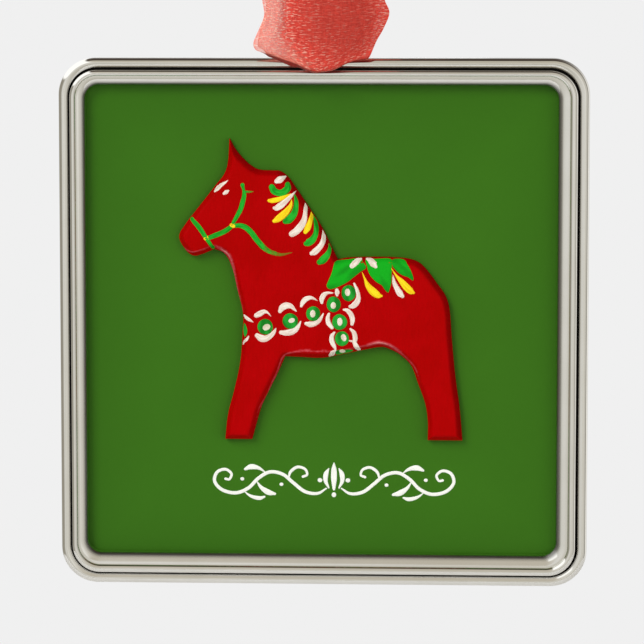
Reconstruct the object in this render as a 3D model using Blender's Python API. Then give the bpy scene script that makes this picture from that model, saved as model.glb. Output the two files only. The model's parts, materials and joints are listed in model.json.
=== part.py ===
"""A square silver-plated hanging ornament with a carved dala horse on a green panel, and its ribbon.

Units are metres, +Z is up, +X is to the right and the front faces -Y. The origin is the point that the
ornament hangs from: the inside of the ribbon loop's top. Outlines below are in millimetres and are scaled as
they are used.
"""

import math

import bmesh
import bpy
from mathutils import Vector

MM = 0.001

# Driving dimensions, in millimetres
FRAME_SIDE = 76.2
CORNER_RADIUS = 5.3
FRAME_DEPTH = 5.0
HANG_LENGTH = 56.0
EYE_MIDDLE_RADIUS = 3.2
EYE_WIRE_RADIUS = 0.65
SHANK_RADIUS = 0.55
RIBBON_WIDTH = 21.0
RIBBON_SWELL = 8.0
STRAP_THICKNESS = 1.0
GAP = 0.3

# Heights above the back face, in millimetres
FLOOR_TOP = 0.8
PAD_THICKNESS = 0.4
PANEL_THICKNESS = 0.6
HORSE_THICKNESS = 1.9
# The height of the ornament's centre of gravity, so that it hangs straight: the ribbon and eye lie at Y = 0
BALANCE_HEIGHT = 1.55

# Rim, measured inward from the outer edge
TRAY_WALL = 1.4
BEAD_RADIUS = TRAY_WALL / 2
BEAD_HEIGHT = 3.9
BEZEL_START = TRAY_WALL + GAP
SKIRT_THICKNESS = 0.7
OPENING_START = 4.2

# Worked out from the above
HALF = FRAME_SIDE / 2
PAD_BOTTOM = FLOOR_TOP + GAP
PANEL_BOTTOM = PAD_BOTTOM + PAD_THICKNESS + GAP
HORSE_BOTTOM = PANEL_BOTTOM + PANEL_THICKNESS + GAP
SKIRT_INNER = BEZEL_START + SKIRT_THICKNESS
PANEL_INSET = SKIRT_INNER + GAP
EYE_OUTER = EYE_MIDDLE_RADIUS + EYE_WIRE_RADIUS
EYE_Z = -HANG_LENGTH
FRAME_TOP_Z = EYE_Z - EYE_OUTER - GAP
CENTRE_Z = FRAME_TOP_Z - HALF

CORNER_STEPS = 8
BEAD_STEPS = 8
CURVE_STEPS = 3

# The horse's outline, clockwise from the ear tip, from the frame's centre: each run is one smooth curve, and
# two runs meet in a corner
HORSE_RUNS = (
    # neck, from the ear to the withers
    ((-13.5, 26.6), (-12.6, 25.0), (-11.1, 23.3), (-9.5, 22.2), (-7.6, 22.0), (-6.2, 21.9), (-5.0, 21.0),
     (-3.6, 19.0), (-1.5, 15.9), (0.0, 13.5), (1.2, 11.0), (2.1, 9.2)),
    # back, rump and hind leg, to the hind foot
    ((2.1, 9.2), (3.9, 9.5), (7.5, 9.6), (11.1, 9.5), (13.2, 9.1), (14.6, 8.1), (16.3, 5.9), (17.6, 4.0),
     (18.2, 1.9), (18.5, -1.9), (19.0, -7.2), (19.7, -12.4), (20.1, -16.9)),
    ((20.1, -16.9), (15.1, -16.9)),
    # inside of the hind leg, and the belly
    ((15.1, -16.9), (15.1, -14.1), (14.7, -11.5), (13.7, -8.7), (12.7, -6.1), (11.1, -4.5), (9.4, -3.6),
     (8.1, -3.4), (5.4, -3.9), (2.5, -4.5), (-0.1, -5.0), (-3.3, -4.9), (-5.5, -4.8)),
    # inside of the foreleg
    ((-5.5, -4.8), (-6.7, -7.5), (-8.8, -11.8), (-9.7, -14.7), (-10.3, -16.9)),
    ((-10.3, -16.9), (-14.2, -16.9)),
    # front of the foreleg, chest and throat
    ((-14.2, -16.9), (-13.8, -13.3), (-12.8, -9.4), (-12.0, -5.6), (-11.7, -1.9), (-11.6, 1.4), (-12.4, 4.9),
     (-13.1, 7.9), (-14.2, 10.0), (-15.7, 10.7)),
    # jaw, chin, nose and forehead, up to the ear
    ((-15.7, 10.7), (-17.3, 10.0), (-18.7, 9.7), (-19.9, 10.6), (-20.8, 12.5), (-19.7, 14.5), (-17.6, 17.2),
     (-15.4, 20.0), (-14.2, 21.6), (-13.7, 23.4), (-13.5, 26.6)),
)


def depth(height):
    """The Y, in metres, of a height above the back face, in millimetres."""
    return (BALANCE_HEIGHT - height) * MM


def material(name, colour, roughness, metallic=0.0):
    made = bpy.data.materials.new(name)
    made.use_nodes = True
    shader = made.node_tree.nodes["Principled BSDF"]
    shader.inputs["Base Color"].default_value = (*colour, 1.0)
    shader.inputs["Roughness"].default_value = roughness
    shader.inputs["Metallic"].default_value = metallic
    return made


def finish(name, shape, made_of, smooth_angle=35.0):
    """Turns a bmesh into a named object with its faces pointing outwards."""
    bmesh.ops.recalc_face_normals(shape, faces=shape.faces)
    mesh = bpy.data.meshes.new(name)
    shape.to_mesh(mesh)
    shape.free()
    mesh.shade_smooth()
    mesh.set_sharp_from_angle(angle=math.radians(smooth_angle))
    mesh.materials.append(made_of)
    made = bpy.data.objects.new(name, mesh)
    bpy.context.scene.collection.objects.link(made)
    return made


def combine(target, guide, operation):
    """A Boolean of the target with a guide that isn't part of the object itself."""
    guide.hide_render = True
    guide.display_type = "WIRE"
    change = target.modifiers.new(guide.name, "BOOLEAN")
    change.operation = operation
    change.object = guide


def rounded_square(inset):
    """Points round the frame at a distance in from its outer edge, in the frame's plane."""
    half = HALF - inset
    radius = CORNER_RADIUS - inset if inset < CORNER_RADIUS else 0.0
    points = []
    for corner in range(4):
        start = corner * math.pi / 2
        middle_x = math.copysign(half - radius, math.cos(start + math.pi / 4))
        middle_z = math.copysign(half - radius, math.sin(start + math.pi / 4))
        for step in range(CORNER_STEPS + 1):
            angle = start + step / CORNER_STEPS * math.pi / 2
            points.append((middle_x + radius * math.cos(angle), middle_z + radius * math.sin(angle)))
    return points


def frame_point(x, z, height):
    return Vector((x * MM, depth(height), (z + CENTRE_Z) * MM))


def sweep_round_frame(shape, profile):
    """One loop of vertices round the frame for each (inset, height) of the profile, joined by faces."""
    loops = []
    for inset, height in profile:
        loops.append([shape.verts.new(frame_point(x, z, height)) for x, z in rounded_square(inset)])
    for near, far in zip(loops, loops[1:]):
        join_loops(shape, near, far)
    return loops


def join_loops(shape, near, far):
    count = len(near)
    for i in range(count):
        shape.faces.new((near[i], near[(i + 1) % count], far[(i + 1) % count], far[i]))


def arc(centre, radius, start_deg, end_deg, steps):
    points = []
    for step in range(steps + 1):
        angle = math.radians(start_deg + (end_deg - start_deg) * step / steps)
        points.append((centre[0] + radius * math.cos(angle), centre[1] + radius * math.sin(angle)))
    return points


def upright_rod(name, radius, top, bottom, made_of):
    """A round rod on the Z axis."""
    rod = bmesh.new()
    bmesh.ops.create_cone(rod, cap_ends=True, segments=20, radius1=radius * MM, radius2=radius * MM,
                          depth=(top - bottom) * MM)
    bmesh.ops.translate(rod, vec=Vector((0.0, 0.0, (top + bottom) / 2)) * MM, verts=rod.verts)
    return finish(name, rod, made_of)


def make_frame_tray(silver):
    """Floor, wall and rounded outer bead, with the hole for the eye's shank in the top wall."""
    back_chamfer = 0.35
    bead_centre = (BEAD_RADIUS, BEAD_HEIGHT - BEAD_RADIUS)
    profile = [(back_chamfer, 0.0), (0.0, back_chamfer)]
    profile += arc(bead_centre, BEAD_RADIUS, 180, 0, BEAD_STEPS)
    profile += [(TRAY_WALL, FLOOR_TOP)]
    shape = bmesh.new()
    loops = sweep_round_frame(shape, profile)
    shape.faces.new(loops[0])
    shape.faces.new(loops[-1])
    tray = finish("frame_tray", shape, silver)

    run_out = 0.1
    drill_top = FRAME_TOP_Z + 1.0
    drill_end = FRAME_TOP_Z - TRAY_WALL - run_out
    combine(tray, upright_rod("shank_drill", SHANK_RADIUS + GAP, drill_top, drill_end, silver), "DIFFERENCE")
    return tray


def make_bezel(silver):
    """A closed ring: skirt in the tray's wall, raised bead, bevel down to the picture, lip over its edge."""
    bead_radius = 0.4
    bead_centre = (BEZEL_START + bead_radius, FRAME_DEPTH - bead_radius)
    bead_end_deg = 20
    edge_round = 0.3
    bevel_end = 4.1
    profile = [(BEZEL_START, PAD_BOTTOM)]
    profile += arc(bead_centre, bead_radius, 180, bead_end_deg, BEAD_STEPS - 2)
    profile += [(OPENING_START - edge_round, bevel_end), (OPENING_START, bevel_end - edge_round),
                (OPENING_START, HORSE_BOTTOM), (SKIRT_INNER, HORSE_BOTTOM), (SKIRT_INNER, PAD_BOTTOM)]
    shape = bmesh.new()
    loops = sweep_round_frame(shape, profile)
    join_loops(shape, loops[-1], loops[0])
    return finish("bezel", shape, silver)


def make_plate(name, bottom, thickness, made_of):
    """A flat sheet inside the bezel's skirt."""
    shape = bmesh.new()
    loops = sweep_round_frame(shape, [(PANEL_INSET, bottom), (PANEL_INSET, bottom + thickness)])
    for loop in loops:
        shape.faces.new(loop)
    return finish(name, shape, made_of)


def make_hanger_eye(silver):
    """A wire ring, with a shank down into the tray's top wall."""
    ring_steps = 40
    wire_steps = 12
    shape = bmesh.new()
    loops = []
    for i in range(ring_steps):
        angle = 2 * math.pi * i / ring_steps
        loop = []
        for x, y in arc((EYE_MIDDLE_RADIUS, 0.0), EYE_WIRE_RADIUS, 0, 360, wire_steps)[:-1]:
            loop.append(shape.verts.new(Vector((x * math.cos(angle), y, x * math.sin(angle) + EYE_Z)) * MM))
        loops.append(loop)
    for i in range(ring_steps):
        join_loops(shape, loops[i], loops[(i + 1) % ring_steps])
    eye = finish("hanger_eye", shape, silver)

    shank_top = EYE_Z - EYE_MIDDLE_RADIUS
    shank_end = FRAME_TOP_Z - TRAY_WALL
    combine(eye, upright_rod("shank", SHANK_RADIUS, shank_top, shank_end, silver), "UNION")
    return eye


def smooth_run(points):
    """A Catmull-Rom curve through a run's points, without its last point."""
    if len(points) == 2:
        return [Vector(points[0])]
    known = [Vector(p) for p in points]
    known = [2 * known[0] - known[1]] + known + [2 * known[-1] - known[-2]]
    curve = []
    for before, start, end, after in zip(known, known[1:], known[2:], known[3:]):
        for step in range(CURVE_STEPS):
            t = step / CURVE_STEPS
            curve.append(0.5 * (2 * start + (end - before) * t
                                + (2 * before - 5 * start + 4 * end - after) * t ** 2
                                + (3 * start - before - 3 * end + after) * t ** 3))
    return curve


def make_horse(painted_wood):
    """The relief: the outline, as thick as the carving, with its front edge cut back."""
    edge_cut = 0.25
    outline = [point for run in HORSE_RUNS for point in smooth_run(run)]
    shape = bmesh.new()
    back = [shape.verts.new(frame_point(p.x, p.y, HORSE_BOTTOM)) for p in outline]
    front = [shape.verts.new(frame_point(p.x, p.y, HORSE_BOTTOM + HORSE_THICKNESS)) for p in outline]
    join_loops(shape, back, front)
    shape.faces.new(back)
    front_face = shape.faces.new(front)
    bmesh.ops.bevel(shape, geom=list(front_face.edges), offset=edge_cut * MM, segments=1, affect="EDGES")
    return finish("horse", shape, painted_wood)


def side_block(name, outline, half_width, made_of):
    """A solid with a side outline of (y, z) points, in millimetres, across the ribbon's width."""
    shape = bmesh.new()
    left = [shape.verts.new(Vector((-half_width, y, z)) * MM) for y, z in outline]
    right = [shape.verts.new(Vector((half_width, y, z)) * MM) for y, z in outline]
    join_loops(shape, left, right)
    shape.faces.new(left)
    shape.faces.new(right)
    return finish(name, shape, made_of)


# Ribbon levels, from the eye upwards
STRAP_HALF_WIDTH = 1.5
STRAP_INSIDE = EYE_WIRE_RADIUS + GAP
STRAP_OUTSIDE = STRAP_INSIDE + STRAP_THICKNESS
STRAP_BOTTOM_Z = EYE_Z + 0.6
STRAP_SEAT_Z = EYE_Z + 1.6
STRAP_ROOF_Z = EYE_Z + EYE_OUTER + GAP
FLEX_Z = STRAP_ROOF_Z + 2.2
NECK_RADIUS = 0.6
NECK_HALF_WIDTH = 9.0
LOOP_BOTTOM_Z = FLEX_Z + NECK_RADIUS + GAP
LOOP_TOP_Z = STRAP_THICKNESS

# The fold that hangs in front of the frame's top edge
FOLD_CLEARANCE = 0.45
FOLD_DROOP = 2.1
FOLD_BACK_Y = BALANCE_HEIGHT - FRAME_DEPTH - FOLD_CLEARANCE
FOLD_FRONT_Y = FOLD_BACK_Y - 1.2
FOLD_BOTTOM_Z = FRAME_TOP_Z - FOLD_DROOP
FOLD_TOP_Z = STRAP_ROOF_Z - 0.5


def front_fold_outline():
    """The fold seen from the front: nearly as wide as the ribbon, hanging lowest left of its middle."""
    half = RIBBON_WIDTH / 2
    side = ((0.66 * half, FOLD_BOTTOM_Z + 1.5), (0.88 * half, FRAME_TOP_Z + 2.0), (0.92 * half, FOLD_TOP_Z))
    left = [(-x, z) for x, z in reversed(side)]
    return [(-0.3 * half, FOLD_BOTTOM_Z), (0.2 * half, FOLD_BOTTOM_Z), *side, *left]


def make_ribbon_gather(ribbon):
    """The bunched ribbon: round the eye's top wire, with a neck above and the fold in front of the frame."""
    neck_bottom = STRAP_ROOF_Z + 0.3
    strap_top = neck_bottom + 0.5
    strap = [(-STRAP_OUTSIDE, STRAP_BOTTOM_Z), (STRAP_OUTSIDE, STRAP_BOTTOM_Z), (STRAP_OUTSIDE, strap_top),
             (-STRAP_OUTSIDE, strap_top)]
    gather = side_block("ribbon_gather", strap, STRAP_HALF_WIDTH, ribbon)

    room = [(-STRAP_INSIDE, STRAP_SEAT_Z), (STRAP_INSIDE, STRAP_SEAT_Z), (STRAP_INSIDE, STRAP_ROOF_Z),
            (-STRAP_INSIDE, STRAP_ROOF_Z)]
    combine(gather, side_block("wire_room", room, 2 * STRAP_HALF_WIDTH, ribbon), "DIFFERENCE")

    neck = [(-NECK_RADIUS, neck_bottom), (NECK_RADIUS, neck_bottom)]
    neck += arc((0.0, FLEX_Z), NECK_RADIUS, 0, 180, BEAD_STEPS)
    combine(gather, side_block("neck", neck, NECK_HALF_WIDTH, ribbon), "UNION")

    fold = bmesh.new()
    loops = []
    for y in (FOLD_FRONT_Y, FOLD_BACK_Y):
        loops.append([fold.verts.new(Vector((x, y, z)) * MM) for x, z in front_fold_outline()])
        fold.faces.new(loops[-1])
    join_loops(fold, *loops)
    combine(gather, finish("front_fold", fold, ribbon), "UNION")

    sunk = 0.4
    tie_front = FOLD_BACK_Y - sunk
    tie_back = -STRAP_INSIDE - sunk
    tie_low = EYE_Z + 0.8
    tie_high = EYE_Z + 3.0
    tie = [(tie_front, tie_low), (tie_back, tie_low), (tie_back, tie_high), (tie_front, tie_high)]
    combine(gather, side_block("fold_tie", tie, 0.8 * STRAP_HALF_WIDTH, ribbon), "UNION")
    return gather


def loop_swell(t):
    """How far a leg stands out, from the neck at 0 to the knot at 1."""
    return RIBBON_SWELL * math.sin(math.pi * t ** 1.2)


def loop_half_width(t):
    """The ribbon is pulled narrower where it runs into the knot."""
    half = RIBBON_WIDTH / 2
    knot_end = 3.0
    near_knot = max(0.0, (t - 0.7) / 0.3)
    near_neck = max(0.0, 1 - t / 0.1)
    return half - (half - knot_end) * near_knot ** 2 - (half - NECK_HALF_WIDTH) * near_neck


def make_ribbon_loop(ribbon):
    """Both legs as one band, joined at the neck and again under the knot, with the hanging space between."""
    steps = 16
    least_inside = 0.15
    neck_height = 1.5
    rings = []
    shape = bmesh.new()
    for side in (-1, 1):
        outer = []
        inner = []
        for step in range(steps + 1):
            t = step / steps
            x = side * loop_half_width(t)
            stand = loop_swell(t)
            outer.append((x, stand + STRAP_THICKNESS / 2, LOOP_BOTTOM_Z + t * (LOOP_TOP_Z - LOOP_BOTTOM_Z)))
            inside_bottom = LOOP_BOTTOM_Z + neck_height
            inner.append((x, max(stand - STRAP_THICKNESS / 2, least_inside), inside_bottom * (1 - t)))
        for leg in (outer, inner):
            whole = leg + [(x, -y, z) for x, y, z in reversed(leg)]
            rings.append([shape.verts.new(Vector(p) * MM) for p in whole])
    left_outer, left_inner, right_outer, right_inner = rings
    join_loops(shape, left_outer, right_outer)
    join_loops(shape, left_inner, right_inner)
    join_loops(shape, left_outer, left_inner)
    join_loops(shape, right_outer, right_inner)
    return finish("ribbon_loop", shape, ribbon)


def make_ribbon_knot(ribbon):
    """A pulled-tight overhand knot, with a tail to each side of it."""
    knot_size = (8.4, 6.6, 7.0)
    knot_z = LOOP_TOP_Z + GAP + knot_size[2] / 2
    ball = bmesh.new()
    bmesh.ops.create_uvsphere(ball, u_segments=24, v_segments=14, radius=0.5 * MM)
    bmesh.ops.scale(ball, vec=Vector(knot_size), verts=ball.verts)
    bmesh.ops.translate(ball, vec=Vector((0.0, 0.0, knot_z)) * MM, verts=ball.verts)
    knot = finish("ribbon_knot", ball, ribbon)

    # Each tail: half-width, thickness middle (x, y, z) from inside the knot to its cut end
    stations = ((1.6, 1.2, 0.0, 1.0), (3.2, 5.0, 0.5, 4.0), (6.5, 10.5, 1.2, 6.2), (8.6, 16.0, 2.4, 5.6))
    half_thick = 0.45
    for side, name in ((-1, "left_tail"), (1, "right_tail")):
        shape = bmesh.new()
        loops = []
        for half, x, y, z in stations:
            lean = Vector((-0.35 * side, 0.0, 1.0)).normalized()
            middle = Vector((side * x, -side * y, knot_z + z))
            across = lean * half
            thick = Vector((0.0, half_thick, 0.0))
            corners = (middle - across - thick, middle + across - thick, middle + across + thick,
                       middle - across + thick)
            loops.append([shape.verts.new(c * MM) for c in corners])
        for near, far in zip(loops, loops[1:]):
            join_loops(shape, near, far)
        shape.faces.new(loops[0])
        shape.faces.new(loops[-1])
        combine(knot, finish(name, shape, ribbon), "UNION")
    return knot


def main():
    for old in list(bpy.data.objects):
        bpy.data.objects.remove(old)
    silver = material("silver_plate", (0.82, 0.81, 0.78), 0.12, 1.0)
    green = material("green_lacquer", (0.04, 0.153, 0.01), 0.18)
    wood = material("red_painted_wood", (0.42, 0.0, 0.0), 0.35)
    card = material("grey_card", (0.35, 0.34, 0.32), 0.9)
    organza = material("red_organza", (0.6, 0.05, 0.035), 0.5)
    make_frame_tray(silver)
    make_bezel(silver)
    eye = make_hanger_eye(silver)
    make_plate("backing_pad", PAD_BOTTOM, PAD_THICKNESS, card)
    make_plate("picture_panel", PANEL_BOTTOM, PANEL_THICKNESS, green)
    make_horse(wood)
    gather = make_ribbon_gather(organza)
    make_ribbon_loop(organza)
    make_ribbon_knot(organza)
    put_origin(eye, (0.0, 0.0, EYE_Z))
    put_origin(gather, (0.0, 0.0, FLEX_Z))


def put_origin(piece, place):
    """Moves a piece's origin to a point on its joint's axis, leaving its shape where it is."""
    shift = Vector(place) * MM
    for vertex in piece.data.vertices:
        vertex.co -= shift
    piece.location = shift


main()
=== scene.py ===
"""The looks of a square silver-plated ornament on a ribbon: a painted wooden dala horse on a green panel.

Every place is worked out from the CAD frame. Lengths below are millimetres unless a name says otherwise, and
they become metres where a mesh is made. A point on the picture is (x, z, height): across and up from the
frame's centre, and height above the frame's back face.
"""

import json
import math

import bpy
import numpy as np
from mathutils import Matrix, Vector, geometry, noise
from mathutils.bvhtree import BVHTree


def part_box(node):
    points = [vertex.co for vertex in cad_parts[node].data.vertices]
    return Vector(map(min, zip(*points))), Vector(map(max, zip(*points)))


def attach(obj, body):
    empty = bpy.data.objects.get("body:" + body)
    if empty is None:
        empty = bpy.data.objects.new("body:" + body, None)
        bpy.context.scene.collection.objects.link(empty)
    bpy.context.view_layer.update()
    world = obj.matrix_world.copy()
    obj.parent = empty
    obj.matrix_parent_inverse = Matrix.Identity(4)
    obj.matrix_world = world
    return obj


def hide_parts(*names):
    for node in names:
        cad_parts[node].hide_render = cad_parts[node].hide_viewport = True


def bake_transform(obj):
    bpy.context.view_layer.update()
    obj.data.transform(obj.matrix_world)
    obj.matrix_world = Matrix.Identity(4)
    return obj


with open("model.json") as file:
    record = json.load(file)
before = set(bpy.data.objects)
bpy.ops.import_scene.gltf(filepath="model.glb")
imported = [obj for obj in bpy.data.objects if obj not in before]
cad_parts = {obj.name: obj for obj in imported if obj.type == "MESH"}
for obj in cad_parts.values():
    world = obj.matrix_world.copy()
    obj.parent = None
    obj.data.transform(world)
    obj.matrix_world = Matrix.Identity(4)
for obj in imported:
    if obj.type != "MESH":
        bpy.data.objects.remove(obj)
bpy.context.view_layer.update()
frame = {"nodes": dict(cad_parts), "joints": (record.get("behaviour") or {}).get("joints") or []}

MM = 0.001

# ---------------------------------------------------------------- the frame's places
tray_low, tray_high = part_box("frame_tray")
bezel_low, bezel_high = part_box("bezel")
panel_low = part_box("picture_panel")[0]
horse_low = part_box("horse")[0]
CENTRE = (tray_low + tray_high) / 2
BACK_Y = tray_high.y
HALF = (tray_high.x - tray_low.x) / 2 / MM
PANEL_TOP = (BACK_Y - panel_low.y) / MM
HORSE_TOP = (BACK_Y - horse_low.y) / MM
BEZEL_INSET = (bezel_low.x - tray_low.x) / MM
BEZEL_TOP = (BACK_Y - bezel_low.y) / MM
BEZEL_BOTTOM = (BACK_Y - bezel_high.y) / MM
EYE = next(Vector(joint["pos_m"]) for joint in frame["joints"] if joint["name"] == "eye_swing")


def on_picture(points):
    """Row-frame places, in metres, of (x, z, height) points."""
    p = np.asarray(points, float)
    return np.column_stack([CENTRE.x + p[:, 0] * MM, BACK_Y - p[:, 2] * MM, CENTRE.z + p[:, 1] * MM])


def from_eye(points):
    """Row-frame places, in metres, of (x, y, z) points measured from the eye's centre."""
    return np.asarray(points, float).reshape(-1, 3) * MM + np.array(EYE)


# ---------------------------------------------------------------- mesh helpers
def add_object(name, data):
    """A new object in the scene."""
    made = bpy.data.objects.new(name, data)
    bpy.context.scene.collection.objects.link(made)
    return made


def add_piece(name, places, faces, material, body, stands_for=(), sharp=35.0, values=None, uvs=None):
    """A mesh piece, riding on a body if one is given. sharp is the angle from which edges are sharp, values
    holds per-point numbers, and uvs a (u, v) for each point."""
    mesh = bpy.data.meshes.new(name)
    mesh.from_pydata([tuple(p) for p in places], [], faces)
    mesh.update()
    mesh.shade_smooth()
    if sharp:
        mesh.set_sharp_from_angle(angle=math.radians(sharp))
    for key, numbers in (values or {}).items():
        attribute = mesh.attributes.new(key, "FLOAT", "POINT")
        attribute.data.foreach_set("value", np.asarray(numbers, np.float32))
    if uvs is not None:
        layer = mesh.uv_layers.new(name="weave")
        corner_points = np.zeros(len(mesh.loops), np.int32)
        mesh.loops.foreach_get("vertex_index", corner_points)
        layer.data.foreach_set("uv", np.asarray(uvs, np.float32)[corner_points].ravel())
    mesh.materials.append(material)
    piece = add_object(name, mesh)
    if body:
        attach(piece, body)
    if stands_for:
        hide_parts(*stands_for)
    return piece


def catmull(points, steps):
    """A smooth curve through the points along the first axis, with so many steps between two of them."""
    p = np.asarray(points, float)
    p = np.concatenate([2 * p[:1] - p[1:2], p, 2 * p[-1:] - p[-2:-1]])
    t = (np.arange(steps) / steps).reshape((-1,) + (1,) * (p.ndim - 1))
    parts = []
    for before, start, end, after in zip(p, p[1:], p[2:], p[3:]):
        parts.append(0.5 * (2 * start + (end - before) * t
                            + (2 * before - 5 * start + 4 * end - after) * t ** 2
                            + (3 * start - before - 3 * end + after) * t ** 3))
    return np.concatenate(parts + [p[-2:-1]])


def lengths_along(curve):
    """How far along the curve each of its points lies."""
    return np.concatenate([[0], np.cumsum(np.linalg.norm(np.diff(curve, axis=0), axis=1))])


def grid_faces(rows, columns, close_rows=False, close_columns=False):
    """Quads of a grid of points, row by row."""
    faces = []
    for i in range(rows if close_rows else rows - 1):
        for j in range(columns if close_columns else columns - 1):
            here, there = i * columns, (i + 1) % rows * columns
            k = (j + 1) % columns
            faces.append((here + j, here + k, there + k, there + j))
    return faces


def arc(centre, radius, start_deg, end_deg, steps):
    """Points along an arc, with both its ends."""
    angles = np.radians(np.linspace(start_deg, end_deg, steps + 1))
    return [(centre[0] + radius * math.cos(a), centre[1] + radius * math.sin(a)) for a in angles]


def smoothstep(t):
    """An ease from 0 to 1."""
    t = np.clip(t, 0, 1)
    return t * t * (3 - 2 * t)


def wobble(x, z, size):
    """Soft noise from -1 to 1 over the picture, with features of about a size."""
    return np.array([noise.noise(Vector((a / size, b / size, 0.0))) for a, b in zip(x, z)])


# ---------------------------------------------------------------- material helpers
class Nodes:
    """A node tree, and short ways to add nodes to it."""

    def __init__(self, tree):
        self.tree = tree

    def add(self, kind, inputs=None, **settings):
        made = self.tree.nodes.new(kind)
        for key, value in settings.items():
            setattr(made, key, value)
        for key, value in (inputs or {}).items():
            if isinstance(value, bpy.types.NodeSocket):
                self.tree.links.new(value, made.inputs[key])
            else:
                made.inputs[key].default_value = value
        return made

    def sum(self, operation, *values):
        made = self.add("ShaderNodeMath", operation=operation)
        for socket, value in zip(made.inputs, values):
            if isinstance(value, bpy.types.NodeSocket):
                self.tree.links.new(value, socket)
            else:
                socket.default_value = value
        return made.outputs[0]

    def range(self, value, low, high, to_low=0.0, to_high=1.0, smooth=True):
        inputs = {"Value": value, "From Min": low, "From Max": high, "To Min": to_low, "To Max": to_high}
        kind = "SMOOTHSTEP" if smooth else "LINEAR"
        return self.add("ShaderNodeMapRange", inputs, interpolation_type=kind).outputs["Result"]

    def mix(self, factor, first, second, blend="MIX"):
        made = self.add("ShaderNodeMix", data_type="RGBA", blend_type=blend)
        for socket, value in ((made.inputs[0], factor), (made.inputs[6], first), (made.inputs[7], second)):
            if isinstance(value, bpy.types.NodeSocket):
                self.tree.links.new(value, socket)
            else:
                socket.default_value = value if isinstance(value, float) else (*value, 1.0)
        return made.outputs[2]

    def ramp(self, value, stops):
        """Colours along a value, from (value, colour) stops."""
        made = self.add("ShaderNodeValToRGB", {0: value})
        while len(made.color_ramp.elements) < len(stops):
            made.color_ramp.elements.new(0.5)
        for element, (position, colour) in zip(made.color_ramp.elements, stops):
            element.position = position
            element.color = (*colour, 1)
        return made.outputs[0]


class Finish(Nodes):
    """One procedural material."""

    def __init__(self, name, **settings):
        self.material = bpy.data.materials.new(name)
        self.material.use_nodes = True
        super().__init__(self.material.node_tree)
        self.shader = self.tree.nodes["Principled BSDF"]
        for key, value in settings.items():
            self.shader.inputs[key.replace("_", " ")].default_value = value

    def place(self, stretch=(1, 1, 1), turn=(0, 0, 0)):
        """Object coordinates, stretched and turned, in radians."""
        coordinates = self.add("ShaderNodeTexCoord").outputs["Object"]
        inputs = {"Vector": coordinates, "Scale": stretch, "Rotation": turn}
        return self.add("ShaderNodeMapping", inputs).outputs[0]

    def noise(self, vector, size, detail=3.0, roughness=0.5):
        """Noise with features of a size, in millimetres."""
        inputs = {"Vector": vector, "Scale": 1 / (size * MM), "Detail": detail, "Roughness": roughness}
        return self.add("ShaderNodeTexNoise", inputs).outputs["Fac"]

    def threads(self, weave, stretch, detail):
        """Noise stretched along or across a weave's map."""
        vector = self.add("ShaderNodeMapping", {"Vector": weave, "Scale": stretch}).outputs[0]
        inputs = {"Vector": vector, "Scale": 1.0, "Detail": detail, "Roughness": 0.65}
        return self.add("ShaderNodeTexNoise", inputs).outputs["Fac"]

    def number(self, name):
        return self.add("ShaderNodeAttribute", attribute_name=name).outputs["Fac"]

    def set(self, key, value):
        self.tree.links.new(value, self.shader.inputs[key])

    def bump(self, height, strength, depth):
        """Bumps of a depth, in millimetres."""
        inputs = {"Height": height, "Strength": strength, "Distance": depth * MM}
        self.set("Normal", self.add("ShaderNodeBump", inputs).outputs[0])


def silver_plate():
    """Bright plate over cast metal, with fine polishing marks. 'groove' marks painted shade: nearly black and
    rougher in the gap between the tray and the bezel, and along the lip's edge over the picture.
    """
    made = Finish("silver_plate", Metallic=1.0)
    cast = made.noise(made.place(), 5.0, 2.0)
    polish = made.noise(made.place(stretch=(1, 1, 14), turn=(0, 0.35, 0)), 0.8, 4.0, 0.6)
    tone = made.mix(made.range(cast, 0.35, 0.65), (0.86, 0.85, 0.82), (0.885, 0.875, 0.85))
    groove = made.number("groove")
    # Painted shade: the marked places go nearly black
    made.set("Base Color", made.mix(groove, tone, (0.03, 0.027, 0.025)))
    shine = made.range(polish, 0.3, 0.7, 0.06, 0.10)
    made.set("Roughness", made.sum("ADD", shine, made.sum("MULTIPLY", groove, 0.35)))
    made.bump(made.sum("ADD", cast, made.sum("MULTIPLY", polish, 0.05)), 0.3, 0.03)
    return made.material


def green_lacquer():
    """The printed green panel, darker towards its edges as painted shade under the rim, with a fine grain
    under a gloss coat.
    """
    made = Finish("green_lacquer", Roughness=0.42, Specular_IOR_Level=0.08, Coat_Weight=0.05,
                  Coat_Roughness=0.06)
    x, _, z = made.add("ShaderNodeSeparateXYZ", {0: made.add("ShaderNodeTexCoord").outputs["Object"]}).outputs
    sideways = made.sum("DIVIDE", made.sum("SUBTRACT", x, CENTRE.x), HALF * MM)
    up = made.sum("DIVIDE", made.sum("SUBTRACT", z, CENTRE.z), HALF * MM)
    outward = made.sum("MAXIMUM", made.sum("ABSOLUTE", sideways), made.sum("ABSOLUTE", up))
    grain = made.noise(made.place(), 0.25, 2.0)
    cloudy = made.noise(made.place(), 14.0, 2.0)
    centre = made.mix(made.range(cloudy, 0.3, 0.7), (0.0370, 0.146, 0.0072), (0.0390, 0.153, 0.0078))
    # Painted shade: darker towards the edges, where the rim shades the panel
    edge = made.mix(made.range(outward, 0.55, 0.97), centre, (0.0345, 0.134, 0.0066))
    made.set("Base Color", made.mix(made.range(grain, 0.3, 0.7, 0.0, 0.06), edge, (0.02, 0.09, 0.004)))
    made.bump(grain, 0.05, 0.02)
    return made.material


def grey_card():
    """Rough grey board with darker specks."""
    made = Finish("grey_card", Roughness=0.9, Specular_IOR_Level=0.2)
    fibres = made.noise(made.place(stretch=(1, 1, 4), turn=(0, 0.6, 0)), 0.9, 5.0, 0.7)
    specks = made.noise(made.place(), 0.3, 2.0)
    board = made.mix(made.range(fibres, 0.3, 0.7), (0.30, 0.29, 0.27), (0.42, 0.41, 0.38))
    made.set("Base Color", made.mix(made.range(specks, 0.66, 0.72), board, (0.16, 0.15, 0.14)))
    made.bump(fibres, 0.4, 0.05)
    return made.material


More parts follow.
